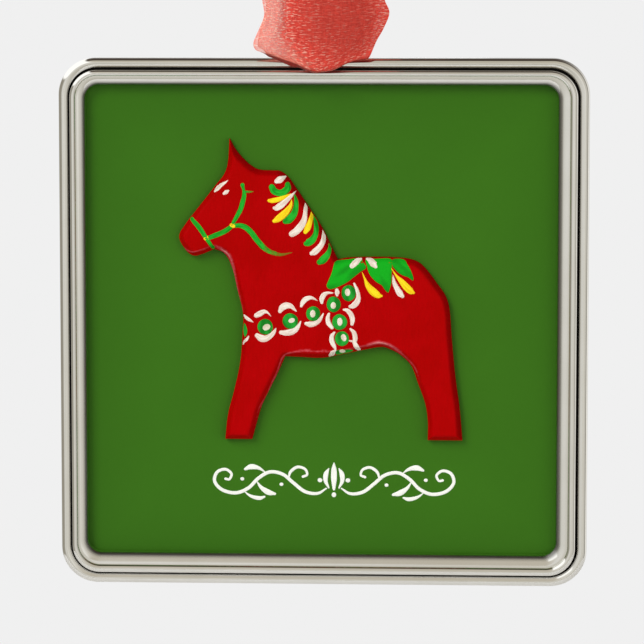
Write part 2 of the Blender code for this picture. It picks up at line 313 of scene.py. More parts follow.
def red_wood():
    """Brushed red paint over carved wood, with two painted marks along its edges: chalky pink where the paint
    has worn through, which on these lower and left edges is also a painted highlight, and painted shade, a
    darker red on the edges that face up and to the right."""
    made = Finish("red_painted_wood", Specular_IOR_Level=0.03, Coat_Weight=0.01, Coat_Roughness=0.2)
    bristles = made.noise(made.place(stretch=(5, 1, 0.8), turn=(0, 0.25, 0)), 1.4, 5.0, 0.6)
    cloudy = made.noise(made.place(), 5.0, 3.0)
    fine = made.noise(made.place(), 0.45, 4.0, 0.65)
    paint = made.mix(made.range(cloudy, 0.3, 0.7), (0.385, 0.0, 0.0), (0.435, 0.0, 0.001))
    paint = made.mix(made.range(bristles, 0.35, 0.75, 0.0, 0.35), paint, (0.31, 0.0, 0.0))
    # Painted shade: darker red along the edges that face up and to the right
    shade = made.sum("MULTIPLY", made.number("shade"), made.range(fine, 0.2, 0.8, 0.75, 1.15))
    paint = made.mix(made.range(shade, 0.0, 1.0, 0.0, 0.85), paint, (0.22, 0.0, 0.001))
    # Painted highlight on worn edges: chalky pink where the paint has worn through
    wear_and_highlight = made.number("wear_and_highlight")
    rubbed_and_lit = made.sum("MULTIPLY", wear_and_highlight, made.range(fine, 0.25, 0.75, 0.65, 1.25))
    chalk_and_highlight = made.mix(made.range(wear_and_highlight, 0.95, 1.3), (0.56, 0.060, 0.080), (0.76, 0.31, 0.30))
    made.set("Base Color", made.mix(made.range(rubbed_and_lit, 0.2, 1.0), paint, chalk_and_highlight))
    made.set("Roughness", made.range(bristles, 0.3, 0.7, 0.36, 0.50))
    made.bump(made.sum("ADD", bristles, made.sum("MULTIPLY", fine, 0.4)), 0.35, 0.05)
    return made.material


def brushed_paint(name, thick, deep, thin):
    """Paint put on with a loaded brush: 'load' is how much there is, and 'streak' the bristles' marks."""
    made = Finish(name, Roughness=0.4, Specular_IOR_Level=0.04, Coat_Weight=0.01, Coat_Roughness=0.2)
    fine = made.noise(made.place(), 0.5, 4.0, 0.6)
    streak = made.number("streak")
    body = made.mix(made.range(streak, 0.2, 0.8), deep, thick)
    load = made.sum("ADD", made.number("load"), made.range(fine, 0.2, 0.8, -0.25, 0.25))
    made.set("Base Color", made.mix(made.range(load, 0.15, 0.7), thin, body))
    made.bump(made.sum("ADD", fine, streak), 0.4, 0.03)
    return made.material


# Each paint's material name, then its colours where it is thick, in a brush mark and thin
PAINTS = {
    "white": ("white_paint", (0.86, 0.80, 0.72), (0.74, 0.60, 0.52), (0.72, 0.16, 0.13)),
    "cream": ("cream_paint", (0.84, 0.76, 0.66), (0.66, 0.58, 0.44), (0.30, 0.36, 0.12)),
    "green": ("green_paint", (0.022, 0.44, 0.030), (0.010, 0.27, 0.014), (0.20, 0.13, 0.01)),
    "dark_green": ("dark_green_paint", (0.020, 0.36, 0.035), (0.010, 0.19, 0.015), (0.05, 0.12, 0.01)),
    "leaf": ("leaf_paint", (0.008, 0.40, 0.014), (0.008, 0.28, 0.012), (0.13, 0.14, 0.01)),
    "yellow": ("yellow_paint", (0.92, 0.74, 0.02), (0.86, 0.55, 0.01), (0.80, 0.22, 0.01)),
    "pure_white": ("scroll_paint", (0.92, 0.93, 0.90), (0.86, 0.88, 0.84), (0.55, 0.70, 0.50)),
}


def red_organza():
    """Sheer woven nylon. The map's u and v are millimetres across and along the ribbon. One number says how
    closely it is gathered and how much painted shade darkens its colour: 0 for one layer, 1 where it is
    bunched, and 2 deep in a fold."""
    made = Finish("red_organza", Roughness=0.42, Specular_IOR_Level=0.25)
    made.shader.inputs["Sheen Weight"].default_value = 0.2
    made.shader.inputs["Sheen Roughness"].default_value = 0.35
    made.shader.inputs["Sheen Tint"].default_value = (1.0, 0.62, 0.55, 1.0)
    weave = made.add("ShaderNodeUVMap", uv_map="weave").outputs[0]
    weft = made.threads(weave, (0.9, 4.5, 1), 3.0)
    warp = made.threads(weave, (3.6, 0.5, 1), 2.0)
    glint = made.threads(weave, (1.1, 5.5, 1), 1.0)
    u = made.add("ShaderNodeSeparateXYZ", {0: weave}).outputs[0]
    from_edge = made.sum("MINIMUM", u, made.sum("SUBTRACT", RIBBON_WIDTH, u))
    selvage = made.range(from_edge, 0.3, 0.6, 1.0, 0.0)
    ragged = made.sum("MULTIPLY", made.sum("SUBTRACT", weft, 0.5), 1.1)
    gather_and_shade = made.sum("ADD", made.number("gather_and_shade"), ragged)
    # Painted shade: the silk's colour darkens as the ribbon bunches and folds
    silk = made.ramp(made.sum("DIVIDE", gather_and_shade, 2.0), (
        (0.0, (0.98, 0.25, 0.19)), (0.25, (0.70, 0.050, 0.034)),
        (0.5, (0.50, 0.036, 0.024)), (1.0, (0.30, 0.013, 0.009))))
    threads = made.sum("ADD", made.sum("MULTIPLY", weft, 0.72), made.sum("MULTIPLY", warp, 0.28))
    threads = made.range(threads, 0.38, 0.62)
    silk = made.mix(1.0, silk, made.mix(threads, (0.80, 0.7, 0.7), (1.14, 1.3, 1.3)), "MULTIPLY")
    # Painted glints: cream sparkles put into the colour where the ribbon is loose
    painted_sparkle = made.sum("MULTIPLY", made.range(glint, 0.53, 0.65), made.range(gather_and_shade, 0.0, 1.2, 0.9, 0.0))
    made.set("Base Color", made.mix(painted_sparkle, silk, (1.0, 0.60, 0.47)))
    cover = made.sum("ADD", made.range(gather_and_shade, 0.0, 0.7, 0.6, 0.93), made.sum("MULTIPLY", threads, 0.14))
    made.set("Alpha", made.sum("ADD", cover, made.sum("MULTIPLY", selvage, 0.16)))
    made.bump(threads, 0.6, 0.08)
    return made.material


# ---------------------------------------------------------------- silver frame and eye
CORNER_RADIUS = 5.3
CORNER_STEPS = 20
TRAY_WALL = 1.4
FLOOR_TOP = 0.8
FLOOR_INSET = 3.2
BACK_EDGE = 0.35
OPENING_INSET = 4.2
OPENING_RADIUS = 2.0
# The opening sits a little to the left and high
OPENING_DRIFT = (-0.3, 0.36)
PICTURE_DEPTH = 1.35
LIP_BOTTOM = PANEL_TOP + 0.3
EYE_MIDDLE_RADIUS = 3.2
EYE_WIRE_RADIUS = 0.65
SHANK_RADIUS = 0.55


def rounded_square(inset):
    """Points round the frame at a distance in from its outer edge. The corners tighten towards the opening,
    and the slope down to it is a little wider below and on the right than above and on the left."""
    half = HALF - inset
    drift = np.clip((inset - BEZEL_INSET) / (OPENING_INSET - BEZEL_INSET), 0, 1) * np.array(OPENING_DRIFT)
    radius = CORNER_RADIUS - (CORNER_RADIUS - OPENING_RADIUS) * inset / OPENING_INSET
    points = []
    for corner in range(4):
        turn = math.pi / 2 * corner
        diagonal = turn + math.pi / 4
        middle = [math.copysign(half - radius, f(diagonal)) for f in (math.cos, math.sin)] + drift
        for angle in np.linspace(turn, turn + math.pi / 2, CORNER_STEPS + 1):
            points.append((middle[0] + radius * math.cos(angle), middle[1] + radius * math.sin(angle)))
    return points


def rim(profile):
    """Places of loops round the frame, one for each (inset, height) of the profile, and the numbers of loops
    and of points in each."""
    loops = [[(x, z, height) for x, z in rounded_square(inset)] for inset, height in profile]
    return on_picture([p for loop in loops for p in loop]), len(loops), len(loops[0])


def make_tray(silver):
    """Floor, wall and rounded outer bead."""
    bead = TRAY_WALL / 2
    bead_height = (BACK_Y - tray_low.y) / MM
    profile = [(FLOOR_INSET, 0.0), (BACK_EDGE, 0.0), (0.22, 0.03), (0.03, 0.22), (0.0, BACK_EDGE)]
    profile += arc((bead, bead_height - bead), bead, 180, 70, 13)
    for inset, below in ((1.15, 0.10), (1.27, 0.15), (1.36, 0.24), (TRAY_WALL, 0.38)):
        profile.append((inset, bead_height - below))
    profile += [(TRAY_WALL, FLOOR_TOP), (FLOOR_INSET, FLOOR_TOP)]
    # Painted shade on the inner wall and floor, in the gap under the bezel
    shaded_dull = [0] * (len(profile) - 3) + [0.8, 1, 1]
    places, rows, columns = rim(profile)
    faces = grid_faces(rows, columns, close_columns=True)
    faces += [tuple(range(columns))[::-1], tuple(range((rows - 1) * columns, rows * columns))]
    add_piece("rim_and_back", places, faces, silver, "ornament", ["frame_tray"],
              values={"groove": np.repeat(shaded_dull, columns)})


def make_bezel(silver):
    """Skirt, raised bead, rounded slope down to the picture, and the lip over its edge."""
    bead, skirt, slope = 0.5, 0.7, 0.9
    crease = BEZEL_INSET + 2 * bead
    slope_foot = BEZEL_TOP - PICTURE_DEPTH
    inside = BEZEL_INSET + skirt
    profile = [(BEZEL_INSET, BEZEL_BOTTOM)]
    profile += arc((BEZEL_INSET + bead, BEZEL_TOP - bead), bead, 180, -7, 20)
    for a in np.radians(np.linspace(0, 90, 17)):
        profile.append((crease + (OPENING_INSET - crease) * math.sin(a), slope_foot + slope * math.cos(a)))
    profile += [(OPENING_INSET, LIP_BOTTOM), (inside, LIP_BOTTOM), (inside, BEZEL_BOTTOM)]
    # Painted shade, dark and dull, on the groove outside and on the edge over the picture
    shaded_dull = np.zeros(len(profile))
    shaded_dull[:2] = (1.0, 0.3)
    shaded_dull[-14:-2] = (0.08, 0.3, 0.5, 0.65, 0.72, 0.74, 0.72, 0.6, 0.4, 0.15, 0.0, 0.0)
    places, rows, columns = rim(profile)
    faces = grid_faces(rows, columns, close_rows=True, close_columns=True)
    add_piece("inner_bezel", places, faces, silver, "ornament", ["bezel"],
              values={"groove": np.repeat(shaded_dull, columns)})


def make_eye(silver):
    """A wire ring, and its shank with a fillet of solder where it enters the frame's top edge."""
    around, section = 80, 20
    section_angles = np.linspace(0, 2 * math.pi, section, endpoint=False)
    places = []
    for a in np.linspace(0, 2 * math.pi, around, endpoint=False):
        for b in section_angles:
            reach = EYE_MIDDLE_RADIUS + EYE_WIRE_RADIUS * math.cos(b)
            places.append((reach * math.cos(a), EYE_WIRE_RADIUS * math.sin(b), reach * math.sin(a)))
    faces = grid_faces(around, section, close_rows=True, close_columns=True)

    frame_top = (tray_high.z - EYE.z) / MM
    solder, buried = 0.55, 0.6
    turned = [(SHANK_RADIUS, -EYE_MIDDLE_RADIUS)]
    for a in np.linspace(0, math.pi / 2, 7):
        turned.append((SHANK_RADIUS + solder * (1 - math.cos(a)), frame_top + solder * (1 - math.sin(a))))
    turned.append((SHANK_RADIUS, frame_top - buried))
    start = len(places)
    for radius, z in turned:
        for b in section_angles:
            places.append((radius * math.cos(b), radius * math.sin(b), z))
    faces += [tuple(start + i for i in face) for face in grid_faces(len(turned), section, close_columns=True)]
    faces += [tuple(range(start, start + section))[::-1], tuple(range(len(places) - section, len(places)))]
    add_piece("eye_ring", from_eye(places), faces, silver, "ornament", ["hanger_eye"])


# ---------------------------------------------------------------- the horse
# Its outline, clockwise from the ear tip: each run is one smooth curve, and two runs meet in a corner
HORSE_RUNS = (
    # neck, from the ear to the withers
    ((-13.5, 26.6), (-12.6, 25.0), (-11.1, 23.3), (-9.5, 22.2), (-7.6, 22.0), (-6.2, 21.9), (-5.0, 21.0),
     (-3.6, 19.0), (-1.5, 15.9), (0.0, 13.5), (1.2, 11.0), (2.1, 9.2)),
    # back, rump and hind leg, to the hind foot
    ((2.1, 9.2), (3.9, 9.5), (7.5, 9.6), (11.1, 9.5), (13.2, 9.1), (14.6, 8.1), (16.3, 5.9), (17.6, 4.0),
     (18.2, 1.9), (18.5, -1.9), (19.0, -7.2), (19.7, -12.4), (20.1, -16.9)),
    ((20.1, -16.9), (15.1, -16.9)),
    # inside of the hind leg, and the belly
    ((15.1, -16.9), (15.1, -14.1), (14.7, -11.5), (13.7, -8.7), (12.7, -6.1), (11.1, -4.5), (9.4, -3.6),
     (8.1, -3.4), (5.4, -3.9), (2.5, -4.5), (-0.1, -5.0), (-3.3, -4.9), (-5.5, -4.8)),
    # inside of the foreleg
    ((-5.5, -4.8), (-6.7, -7.5), (-8.8, -11.8), (-9.7, -14.7), (-10.3, -16.9)),
    ((-10.3, -16.9), (-14.2, -16.9)),
    # front of the foreleg, chest and throat
    ((-14.2, -16.9), (-13.8, -13.3), (-12.8, -9.4), (-12.0, -5.6), (-11.7, -1.9), (-11.6, 1.4), (-12.4, 4.9),
     (-13.1, 7.9), (-14.2, 10.0), (-15.7, 10.7)),
    # jaw, chin, nose and forehead, up to the ear
    ((-15.7, 10.7), (-17.3, 10.0), (-18.7, 9.7), (-19.9, 10.6), (-20.8, 12.5), (-19.7, 14.5), (-17.6, 17.2),
     (-15.4, 20.0), (-14.2, 21.6), (-13.7, 23.4), (-13.5, 26.6)),
)
OUTLINE_STEP = 0.2
EDGE_HEIGHT = PANEL_TOP + 1.0
FACET_WIDTH = 0.75
FACET_SOFTNESS = 0.12
CROWN = 0.25
CROWN_REACH = 2.2
# Rings of points inside the outline, then an even grid of triangles from so far in
EDGE_RINGS = (0.12, 0.25, 0.38, 0.52, 0.68, 0.86, 1.05)
GRID_STEP = 0.4
GRID_FROM = 1.25
# Clear of the panel and paint below
CLEAR = 0.02

# Carved edges where the paint has worn through, on the lower and left sides, where it is also painted lighter
# as a highlight: half-width, then (x, z, how much)
WORN_AND_LIT_EDGES = (
    (0.13, ((-20.0, 10.95, 0.5), (-19.6, 10.5, 1.0), (-18.7, 10.3, 1.1), (-17.3, 10.65, 0.9),
            (-16.0, 11.2, 0.6))),
    (0.30, ((-15.6, 11.2, 0.6), (-14.5, 10.6, 1.2), (-13.3, 9.3, 1.2), (-12.5, 5.3, 0.9),
            (-11.6, 1.7, 0.5))),
    (0.16, ((-5.5, -4.5, 0.7), (-4.7, -4.2, 1.0), (-3.3, -3.95, 1.0), (-1.4, -3.95, 1.0), (1.0, -3.95, 0.9),
            (3.2, -3.7, 0.9), (5.4, -3.3, 1.0), (6.5, -3.05, 1.1))),
    (0.28, ((6.5, -3.05, 1.1), (8.0, -2.65, 1.3), (9.7, -3.1, 1.2), (11.1, -4.05, 1.0))),
    (0.16, ((11.1, -4.05, 1.0), (12.6, -5.5, 0.9), (13.5, -6.9, 0.7), (14.5, -10.5, 0.3))),
    (0.14, ((-5.6, -4.6, 1.0), (-6.0, -5.2, 1.0), (-6.6, -6.9, 0.8), (-7.3, -8.4, 0.9), (-7.9, -9.8, 0.7),
            (-8.8, -11.5, 0.8), (-9.4, -12.8, 0.6), (-10.0, -15.6, 0.4))),
)


def horse_outline():
    """Points round the horse, evenly close together, clockwise."""
    outline = []
    for run in HORSE_RUNS:
        curve = catmull(run, 12) if len(run) > 2 else np.array(run, float)
        lengths = lengths_along(curve)
        count = max(2, round(lengths[-1] / OUTLINE_STEP))
        at = np.linspace(0, lengths[-1], count + 1)[:-1]
        outline += list(zip(np.interp(at, lengths, curve[:, 0]), np.interp(at, lengths, curve[:, 1])))
    return np.array(outline)


OUTLINE = horse_outline()
OUTLINE_NEXT = np.roll(OUTLINE, -1, axis=0)
OUTLINE_ALONG = OUTLINE_NEXT - np.roll(OUTLINE, 1, axis=0)
OUTLINE_ALONG /= np.linalg.norm(OUTLINE_ALONG, axis=1)[:, None]
# The outline runs clockwise, so its inside is to the right
OUTLINE_INWARD = np.column_stack([OUTLINE_ALONG[:, 1], -OUTLINE_ALONG[:, 0]])


def edge_distance(points):
    """For points on the picture: distance inside the horse's outline (negative outside), the number of the
    outline's nearest step, and the nearest place on it."""
    p = np.asarray(points, float)[:, :2]
    step = OUTLINE_NEXT - OUTLINE
    length = (step ** 2).sum(1)
    distance, nearest, place = np.zeros(len(p)), np.zeros(len(p), int), np.zeros((len(p), 2))
    batch = 2000
    for start in range(0, len(p), batch):
        now = slice(start, start + batch)
        q = p[now]
        t = np.clip(((q[:, None] - OUTLINE) * step).sum(2) / length, 0, 1)
        gap = np.linalg.norm(OUTLINE + t[..., None] * step - q[:, None], axis=2)
        best = gap.argmin(1)
        rows = np.arange(len(q))
        distance[now] = gap[rows, best]
        nearest[now] = best
        place[now] = OUTLINE[best] + t[rows, best][:, None] * step[best]
    x, z = p[:, 0], p[:, 1]
    inside = np.zeros(len(p), bool)
    for (ax, az), (bx, bz) in zip(OUTLINE, OUTLINE_NEXT):
        if az != bz:
            inside ^= ((az > z) != (bz > z)) & (x < (bx - ax) * (z - az) / (bz - az) + ax)
    return np.where(inside, distance, -distance), nearest, place


def relief_height(inside):
    """Height of the carving at a distance in from its outline: a cut facet, then a slight crown."""
    left = 1 - np.clip(inside / FACET_WIDTH, 0, 1)
    facet = 1 - (left + np.hypot(left, FACET_SOFTNESS)) / 2
    rise = HORSE_TOP - CROWN - EDGE_HEIGHT
    return EDGE_HEIGHT + rise * facet + CROWN * (1 - np.exp(-np.maximum(inside, 0) / CROWN_REACH))


def wear_and_highlight_at(points, edges):
    """How strongly points lie on the worn edges, which are also a painted highlight."""
    strength = np.zeros(len(points))
    for half, stations in edges:
        line = catmull(stations, 10)
        gap = np.linalg.norm(points[:, None, :2] - line[:, :2], axis=2)
        best = gap.argmin(1)
        near = np.exp(-(gap[np.arange(len(points)), best] / half) ** 2)
        strength = np.maximum(strength, near * line[best, 2])
    return strength


def make_horse(wood):
    """The carved relief, closed at the back. Returns a function that finds its surface."""
    inner = []
    for distance in EDGE_RINGS:
        ring = OUTLINE + OUTLINE_INWARD * distance
        inner.append(ring[edge_distance(ring)[0] > distance * 0.96])
    low, high = OUTLINE.min(0), OUTLINE.max(0)
    rows = []
    for i, z in enumerate(np.arange(low[1], high[1], GRID_STEP * math.sqrt(3) / 2)):
        x = np.arange(low[0] + (i % 2) * GRID_STEP / 2, high[0], GRID_STEP)
        rows.append(np.column_stack([x, np.full(len(x), z)]))
    grid = np.concatenate(rows)
    inner.append(grid[edge_distance(grid)[0] > GRID_FROM])
    flat = [Vector(p) for p in np.concatenate([OUTLINE, *inner])]
    made = geometry.delaunay_2d_cdt(flat, [], [list(range(len(OUTLINE)))], 1, 1e-5)
    points = np.array([tuple(v) for v in made[0]])
    triangles = [tuple(t) for t in made[2]]

    inside, nearest, _ = edge_distance(points)
    height = relief_height(np.maximum(inside, 0))
    # Smooth where facets meet along the middle of narrow parts, then slightly uneven, as carved by hand
    height = even_out(height, triangles, inside > 1.3, 25)
    height += 0.035 * wobble(points[:, 0], points[:, 1], 4.0) * smoothstep(inside / 1.5)
    # Painted shade: edges facing up and to the right are darkened in the paint
    outward = -OUTLINE_INWARD[nearest]
    facing_up_right = np.clip(outward @ np.array([0.72, 0.69]), 0, 1)
    shade = facing_up_right * (1 - smoothstep(inside / 1.35))
    # Worn edges that are also a painted highlight, standing a little proud
    wear_and_highlight = wear_and_highlight_at(points, WORN_AND_LIT_EDGES)
    height += 0.03 * np.minimum(wear_and_highlight, 1)

    # The wall down to the panel, and the flat back
    foot = PANEL_TOP + CLEAR
    boundary = boundary_loop(triangles)
    count = len(points)
    places = np.vstack([np.column_stack([points, height]),
                        np.column_stack([points[boundary], np.full(len(boundary), foot)])])
    faces = list(triangles)
    for i in range(len(boundary)):
        j = (i + 1) % len(boundary)
        faces.append((boundary[j], boundary[i], count + i, count + j))
    faces.append(tuple(range(count, count + len(boundary)))[::-1])
    faces = outward_faces(places, faces)
    values = {"shade": np.concatenate([shade, shade[boundary]]),
              "wear_and_highlight": np.concatenate([wear_and_highlight, 0.3 * wear_and_highlight[boundary]])}
    add_piece("carved_horse", on_picture(places), faces, wood, "ornament", ["horse"],
              values=values)
    tree = BVHTree.FromPolygons([Vector(p) for p in np.column_stack([points, height])], triangles)

    def surface(at):
        """(x, z, height) for (x, z) points, which are first moved in if they are over the edge."""
        at = np.array(at, float)
        margin = 0.07
        inside, nearest, place = edge_distance(at)
        over = inside < margin
        at[over] = place[over] + OUTLINE_INWARD[nearest[over]] * margin
        found = []
        for x, z in at:
            hit = tree.ray_cast(Vector((x, z, HORSE_TOP + 5)), Vector((0, 0, -1)))[0]
            found.append((x, z, hit.z if hit else EDGE_HEIGHT))
        return np.array(found)

    return surface


def even_out(height, triangles, free, rounds):
    """Heights averaged with their neighbours' where the points are free."""
    edges = np.array([(t[i], t[(i + 1) % 3]) for t in triangles for i in range(3)])
    degree = np.bincount(edges.ravel(), minlength=len(height))
    for _ in range(rounds):
        total = np.zeros(len(height))
        np.add.at(total, edges[:, 0], height[edges[:, 1]])
        np.add.at(total, edges[:, 1], height[edges[:, 0]])
        height = np.where(free, 0.5 * height + 0.5 * total / degree, height)
    return height


def boundary_loop(triangles):
    """The point numbers round the mesh's edge, in the triangles' own direction."""
    used = {(t[i], t[(i + 1) % 3]) for t in triangles for i in range(3)}
    following = {a: b for a, b in used if (b, a) not in used}
    start = min(following)
    loop = [start]
    while following[loop[-1]] != start:
        loop.append(following[loop[-1]])
    return loop


def outward_faces(places, faces):
    """The same faces, all turned round if the front ones (the first) face the panel."""
    a, b, c = (places[i] for i in faces[0][:3])
    if (b[0] - a[0]) * (c[1] - a[1]) - (b[1] - a[1]) * (c[0] - a[0]) < 0:
        return [tuple(face)[::-1] for face in faces]
    return faces


# ---------------------------------------------------------------- paint, in (x, z, half-width) stations
BRIDLE = {
    "green": (
        ((-18.85, 15, 0.3), (-17.85, 13.9, 0.35), (-16.85, 12.4, 0.3), (-15.85, 10.9, 0.25)),
        ((-16.55, 12.3, 0.3), (-15.55, 12.7, 0.35), (-14.65, 13.05, 0.35), (-13.8, 13.5, 0.35),
         (-13.1, 14.05, 0.3)),
        ((-12.9, 14.5, 0.25), (-12.35, 15.5, 0.3), (-11.85, 16.45, 0.35), (-11.5, 17.6, 0.35),
         (-11.3, 18.6, 0.3), (-11.4, 19.4, 0.2), (-11.55, 19.95, 0.3)),
        ((-12.65, 14.15, 0.3), (-11.85, 14.15, 0.35), (-11.05, 13.85, 0.4), (-10.2, 13.05, 0.4),
         (-9.5, 12.1, 0.4), (-8.7, 11.15, 0.4)),
    ),
    "faded": (
        ((-8.75, 11.25, 0.4), (-8.05, 10.65, 0.35), (-7.05, 10.2, 0.3), (-5.9, 10, 0.2),
         (-4.45, 10.3, 0.05)),
        ((-11.05, 19, 0.15), (-10.5, 19, 0.15), (-10, 19.05, 0.05)),
    ),
    "yellow": (
        ((-16.8, 12.3, 0.35), (-16.65, 12.3, 0.35)),
        ((-13.05, 14.15, 0.35), (-12.85, 14.15, 0.35)),
    ),
}
HORSE_EYE = {
    "white": (
        ((-15.55, 19.05, 0.15), (-15.15, 19.45, 0.3), (-14.55, 20, 0.25), (-14, 20.35, 0.15),
         (-13.65, 20.65, 0.05)),
        ((-14.2, 18.75, 0.2), (-13.9, 18.95, 0.3), (-13.6, 19.15, 0.15)),
    ),
}
MANE = {
    "white": (
        ((-6.6, 20.55, 0.35), (-6.2, 20.75, 0.5), (-5.8, 20.95, 0.35), (-5.35, 21.2, 0.1)),
        ((-3.9, 19.1, 0.05), (-4.6, 18.4, 0.25), (-5.3, 17.7, 0.35), (-6, 17.1, 0.45), (-6.65, 16.7, 0.4),
         (-6.95, 16.7, 0.25)),
        ((-2.5, 17.6, 0.05), (-2.5, 16.7, 0.25), (-2.55, 15.85, 0.3), (-2.7, 15, 0.4), (-3.15, 14.15, 0.5),
         (-3.8, 13.4, 0.5), (-4.4, 13, 0.45)),
        ((0, 13.7, 0.1), (0.1, 12.85, 0.25), (0, 11.9, 0.35), (-0.45, 11.1, 0.4), (-1.2, 10.4, 0.45),
         (-1.6, 10.2, 0.3)),
    ),
    "green": (
        ((-7.3, 19.65, 0.45), (-7, 19.15, 0.5), (-6.3, 18.85, 0.45), (-5.6, 19, 0.5), (-5.1, 19.5, 0.5),
         (-5.1, 20.05, 0.35)),
        ((-4.05, 18.55, 0.1), (-3.85, 17.65, 0.3), (-3.9, 16.7, 0.4), (-4.2, 15.8, 0.5),
         (-4.85, 15.05, 0.55), (-5.35, 14.8, 0.4)),
        ((-1.4, 15.7, 0.1), (-1.1, 14.7, 0.25), (-0.95, 13.7, 0.35), (-1.1, 12.85, 0.4), (-1.55, 12.1, 0.5),
         (-2.15, 11.7, 0.5), (-2.4, 11.6, 0.35)),
        ((0.95, 11.75, 0.15), (0.95, 10.8, 0.25), (0.6, 9.95, 0.45), (0, 9.25, 0.55), (-0.45, 8.95, 0.4)),
    ),
    "yellow": (
        ((-4.6, 18.75, 0.05), (-5.45, 18.3, 0.25), (-6.45, 17.9, 0.35), (-7.3, 17.75, 0.35),
         (-7.7, 17.75, 0.25)),
        ((-4.5, 17.9, 0.05), (-4.6, 17.15, 0.25), (-5.1, 16.35, 0.4), (-5.8, 15.65, 0.5), (-6.5, 15.1, 0.45),
         (-6.95, 14.85, 0.3)),
        ((-1.65, 16.4, 0.05), (-1.65, 15.55, 0.25), (-1.85, 14.7, 0.35), (-2.2, 13.85, 0.45),
         (-2.5, 13.3, 0.3)),
    ),
}
SADDLE_STROKES = {
    "white": (
        ((5.45, 9.35, 0.15), (4.95, 9.1, 0.35), (4.5, 8.7, 0.45), (4.2, 8.4, 0.35)),
        ((6.3, 9.4, 0.15), (6.8, 9.15, 0.35), (7.25, 8.7, 0.5), (7.55, 8.35, 0.3)),
        ((10.05, 7.15, 0.05), (10.25, 6.05, 0.25), (10.7, 5.1, 0.35), (11.1, 4.45, 0.4), (11.45, 4.1, 0.25)),
    ),
    "yellow": (
        ((5.65, 7.5, 0.05), (6.05, 6.5, 0.15), (6.5, 5.55, 0.35), (7.25, 4.7, 0.5), (7.95, 4.2, 0.4),
         (8.45, 4.1, 0.15)),
        ((9.85, 8.05, 0.05), (10.55, 7.05, 0.15), (11.3, 6.2, 0.35), (12, 5.4, 0.45), (12.65, 4.8, 0.4),
         (13, 4.6, 0.2)),
    ),
}
GIRTH = {
    "white": (
        ((-9.55, 1.2, 0.35), (-9.05, 1.45, 0.4), (-8.45, 1.75, 0.3), (-7.95, 1.6, 0.15), (-7.5, 1.1, 0.05)),
        ((-9.45, -1.75, 0.35), (-8.9, -2.1, 0.5), (-8.25, -2.15, 0.45), (-7.55, -1.75, 0.35),
         (-7.05, -1.2, 0.25), (-6.8, -0.7, 0.1)),
        ((-6.15, 1.85, 0.3), (-5.85, 2.35, 0.45), (-5.25, 2.65, 0.45), (-4.6, 2.55, 0.35),
         (-4.15, 2.15, 0.2), (-3.85, 1.85, 0.1)),
        ((-6, -1.25, 0.3), (-5.35, -1.3, 0.4), (-4.65, -1.2, 0.45), (-4, -0.85, 0.4), (-3.5, -0.25, 0.25),
         (-3.2, 0.35, 0.1)),
        ((-3.1, 2.6, 0.2), (-2.85, 3.2, 0.35), (-2.35, 3.65, 0.35), (-1.75, 3.8, 0.25), (-1.25, 3.65, 0.15),
         (-0.8, 3.4, 0.05)),
        ((-2.4, 0.05, 0.25), (-1.85, -0.05, 0.4), (-1.2, 0.05, 0.35), (-0.6, 0.45, 0.3), (-0.2, 1, 0.2),
         (0.05, 1.5, 0.1)),
        ((-0.15, 3.1, 0.2), (-0.15, 3.65, 0.35), (0.15, 4.2, 0.35), (0.7, 4.5, 0.2), (1.4, 4.5, 0.1)),
        ((2, 4.9, 0.25), (2.05, 4.55, 0.35), (2.05, 4.2, 0.2)),
        ((4.5, 5.85, 0.15), (4.9, 4.95, 0.25), (5.1, 4.1, 0.3), (4.95, 3.3, 0.4), (4.4, 2.7, 0.4),
         (3.95, 2.55, 0.25)),
        ((3, 2.1, 0.15), (3.55, 1.95, 0.3), (4.05, 1.4, 0.35), (4.25, 0.7, 0.35), (4.2, 0.05, 0.25)),
        ((0.85, 1.45, 0.2), (0.7, 0.8, 0.3), (0.85, 0.1, 0.35), (1.3, -0.5, 0.25)),
        ((1.65, -1.2, 0.15), (1.3, -1.75, 0.3), (1.3, -2.5, 0.35), (1.6, -3.15, 0.3), (1.8, -3.6, 0.15)),
        ((3.95, -0.7, 0.15), (4.45, -1.2, 0.3), (4.65, -2, 0.35), (4.55, -2.65, 0.3), (4.85, -3.3, 0.35),
         (5.15, -3.7, 0.25)),
        ((3.8, -2.4, 0.1), (4.3, -2.5, 0.15)),
        ((1.8, -3.8, 0.15), (1.4, -4.2, 0.35), (1.15, -4.6, 0.35)),
        ((-11.4, 1.1, 0.15), (-11.05, 0.8, 0.25), (-10.55, 0.5, 0.2), (-10.05, 0.2, 0.05)),
        ((-10.7, -1.85, 0.1), (-11, -2.3, 0.2), (-11.4, -2.7, 0.15), (-11.55, -3.05, 0.1)),
    ),
}
LEAVES = (
    ((1.9, 9.1), (3.65, 9.35), (5.35, 9.45), (6.3, 8.25), (5.45, 7.55), (4.5, 6.8), (3.5, 6), (2.2, 5.35),
     (1.2, 5), (0.65, 5.15), (0.5, 5.65), (0.85, 6.5), (1.25, 7.45), (1.5, 8.5)),
    ((6.1, 9.35), (7.7, 9.45), (9.75, 9.45), (9.95, 8.35), (9.9, 7.05), (9.85, 5.9), (9.6, 4.95),
     (9.4, 4.55), (8.95, 4.9), (8.45, 5.6), (7.7, 6.05), (6.95, 6.8), (6.5, 7.55), (6.3, 8.35)),
    ((9.95, 9.35), (11.55, 9.35), (12.2, 8.6), (12.7, 7.65), (13, 6.8), (12.95, 6.3), (12.2, 6.8),
     (11.55, 7), (10.85, 7.4), (10.25, 8), (9.95, 8.45)),
)
GIRTH_ENDS = (
    ((-11.45, 0), (-11.1, -0.35), (-10.9, -1), (-11, -1.6), (-11.35, -2), (-11.55, -1)),
    ((1.85, -3.9), (2.5, -3.7), (3.95, -3.7), (4.35, -3.9), (3.7, -4.2), (2.9, -4.35), (2, -4.6),
     (1.75, -4.25)),
)
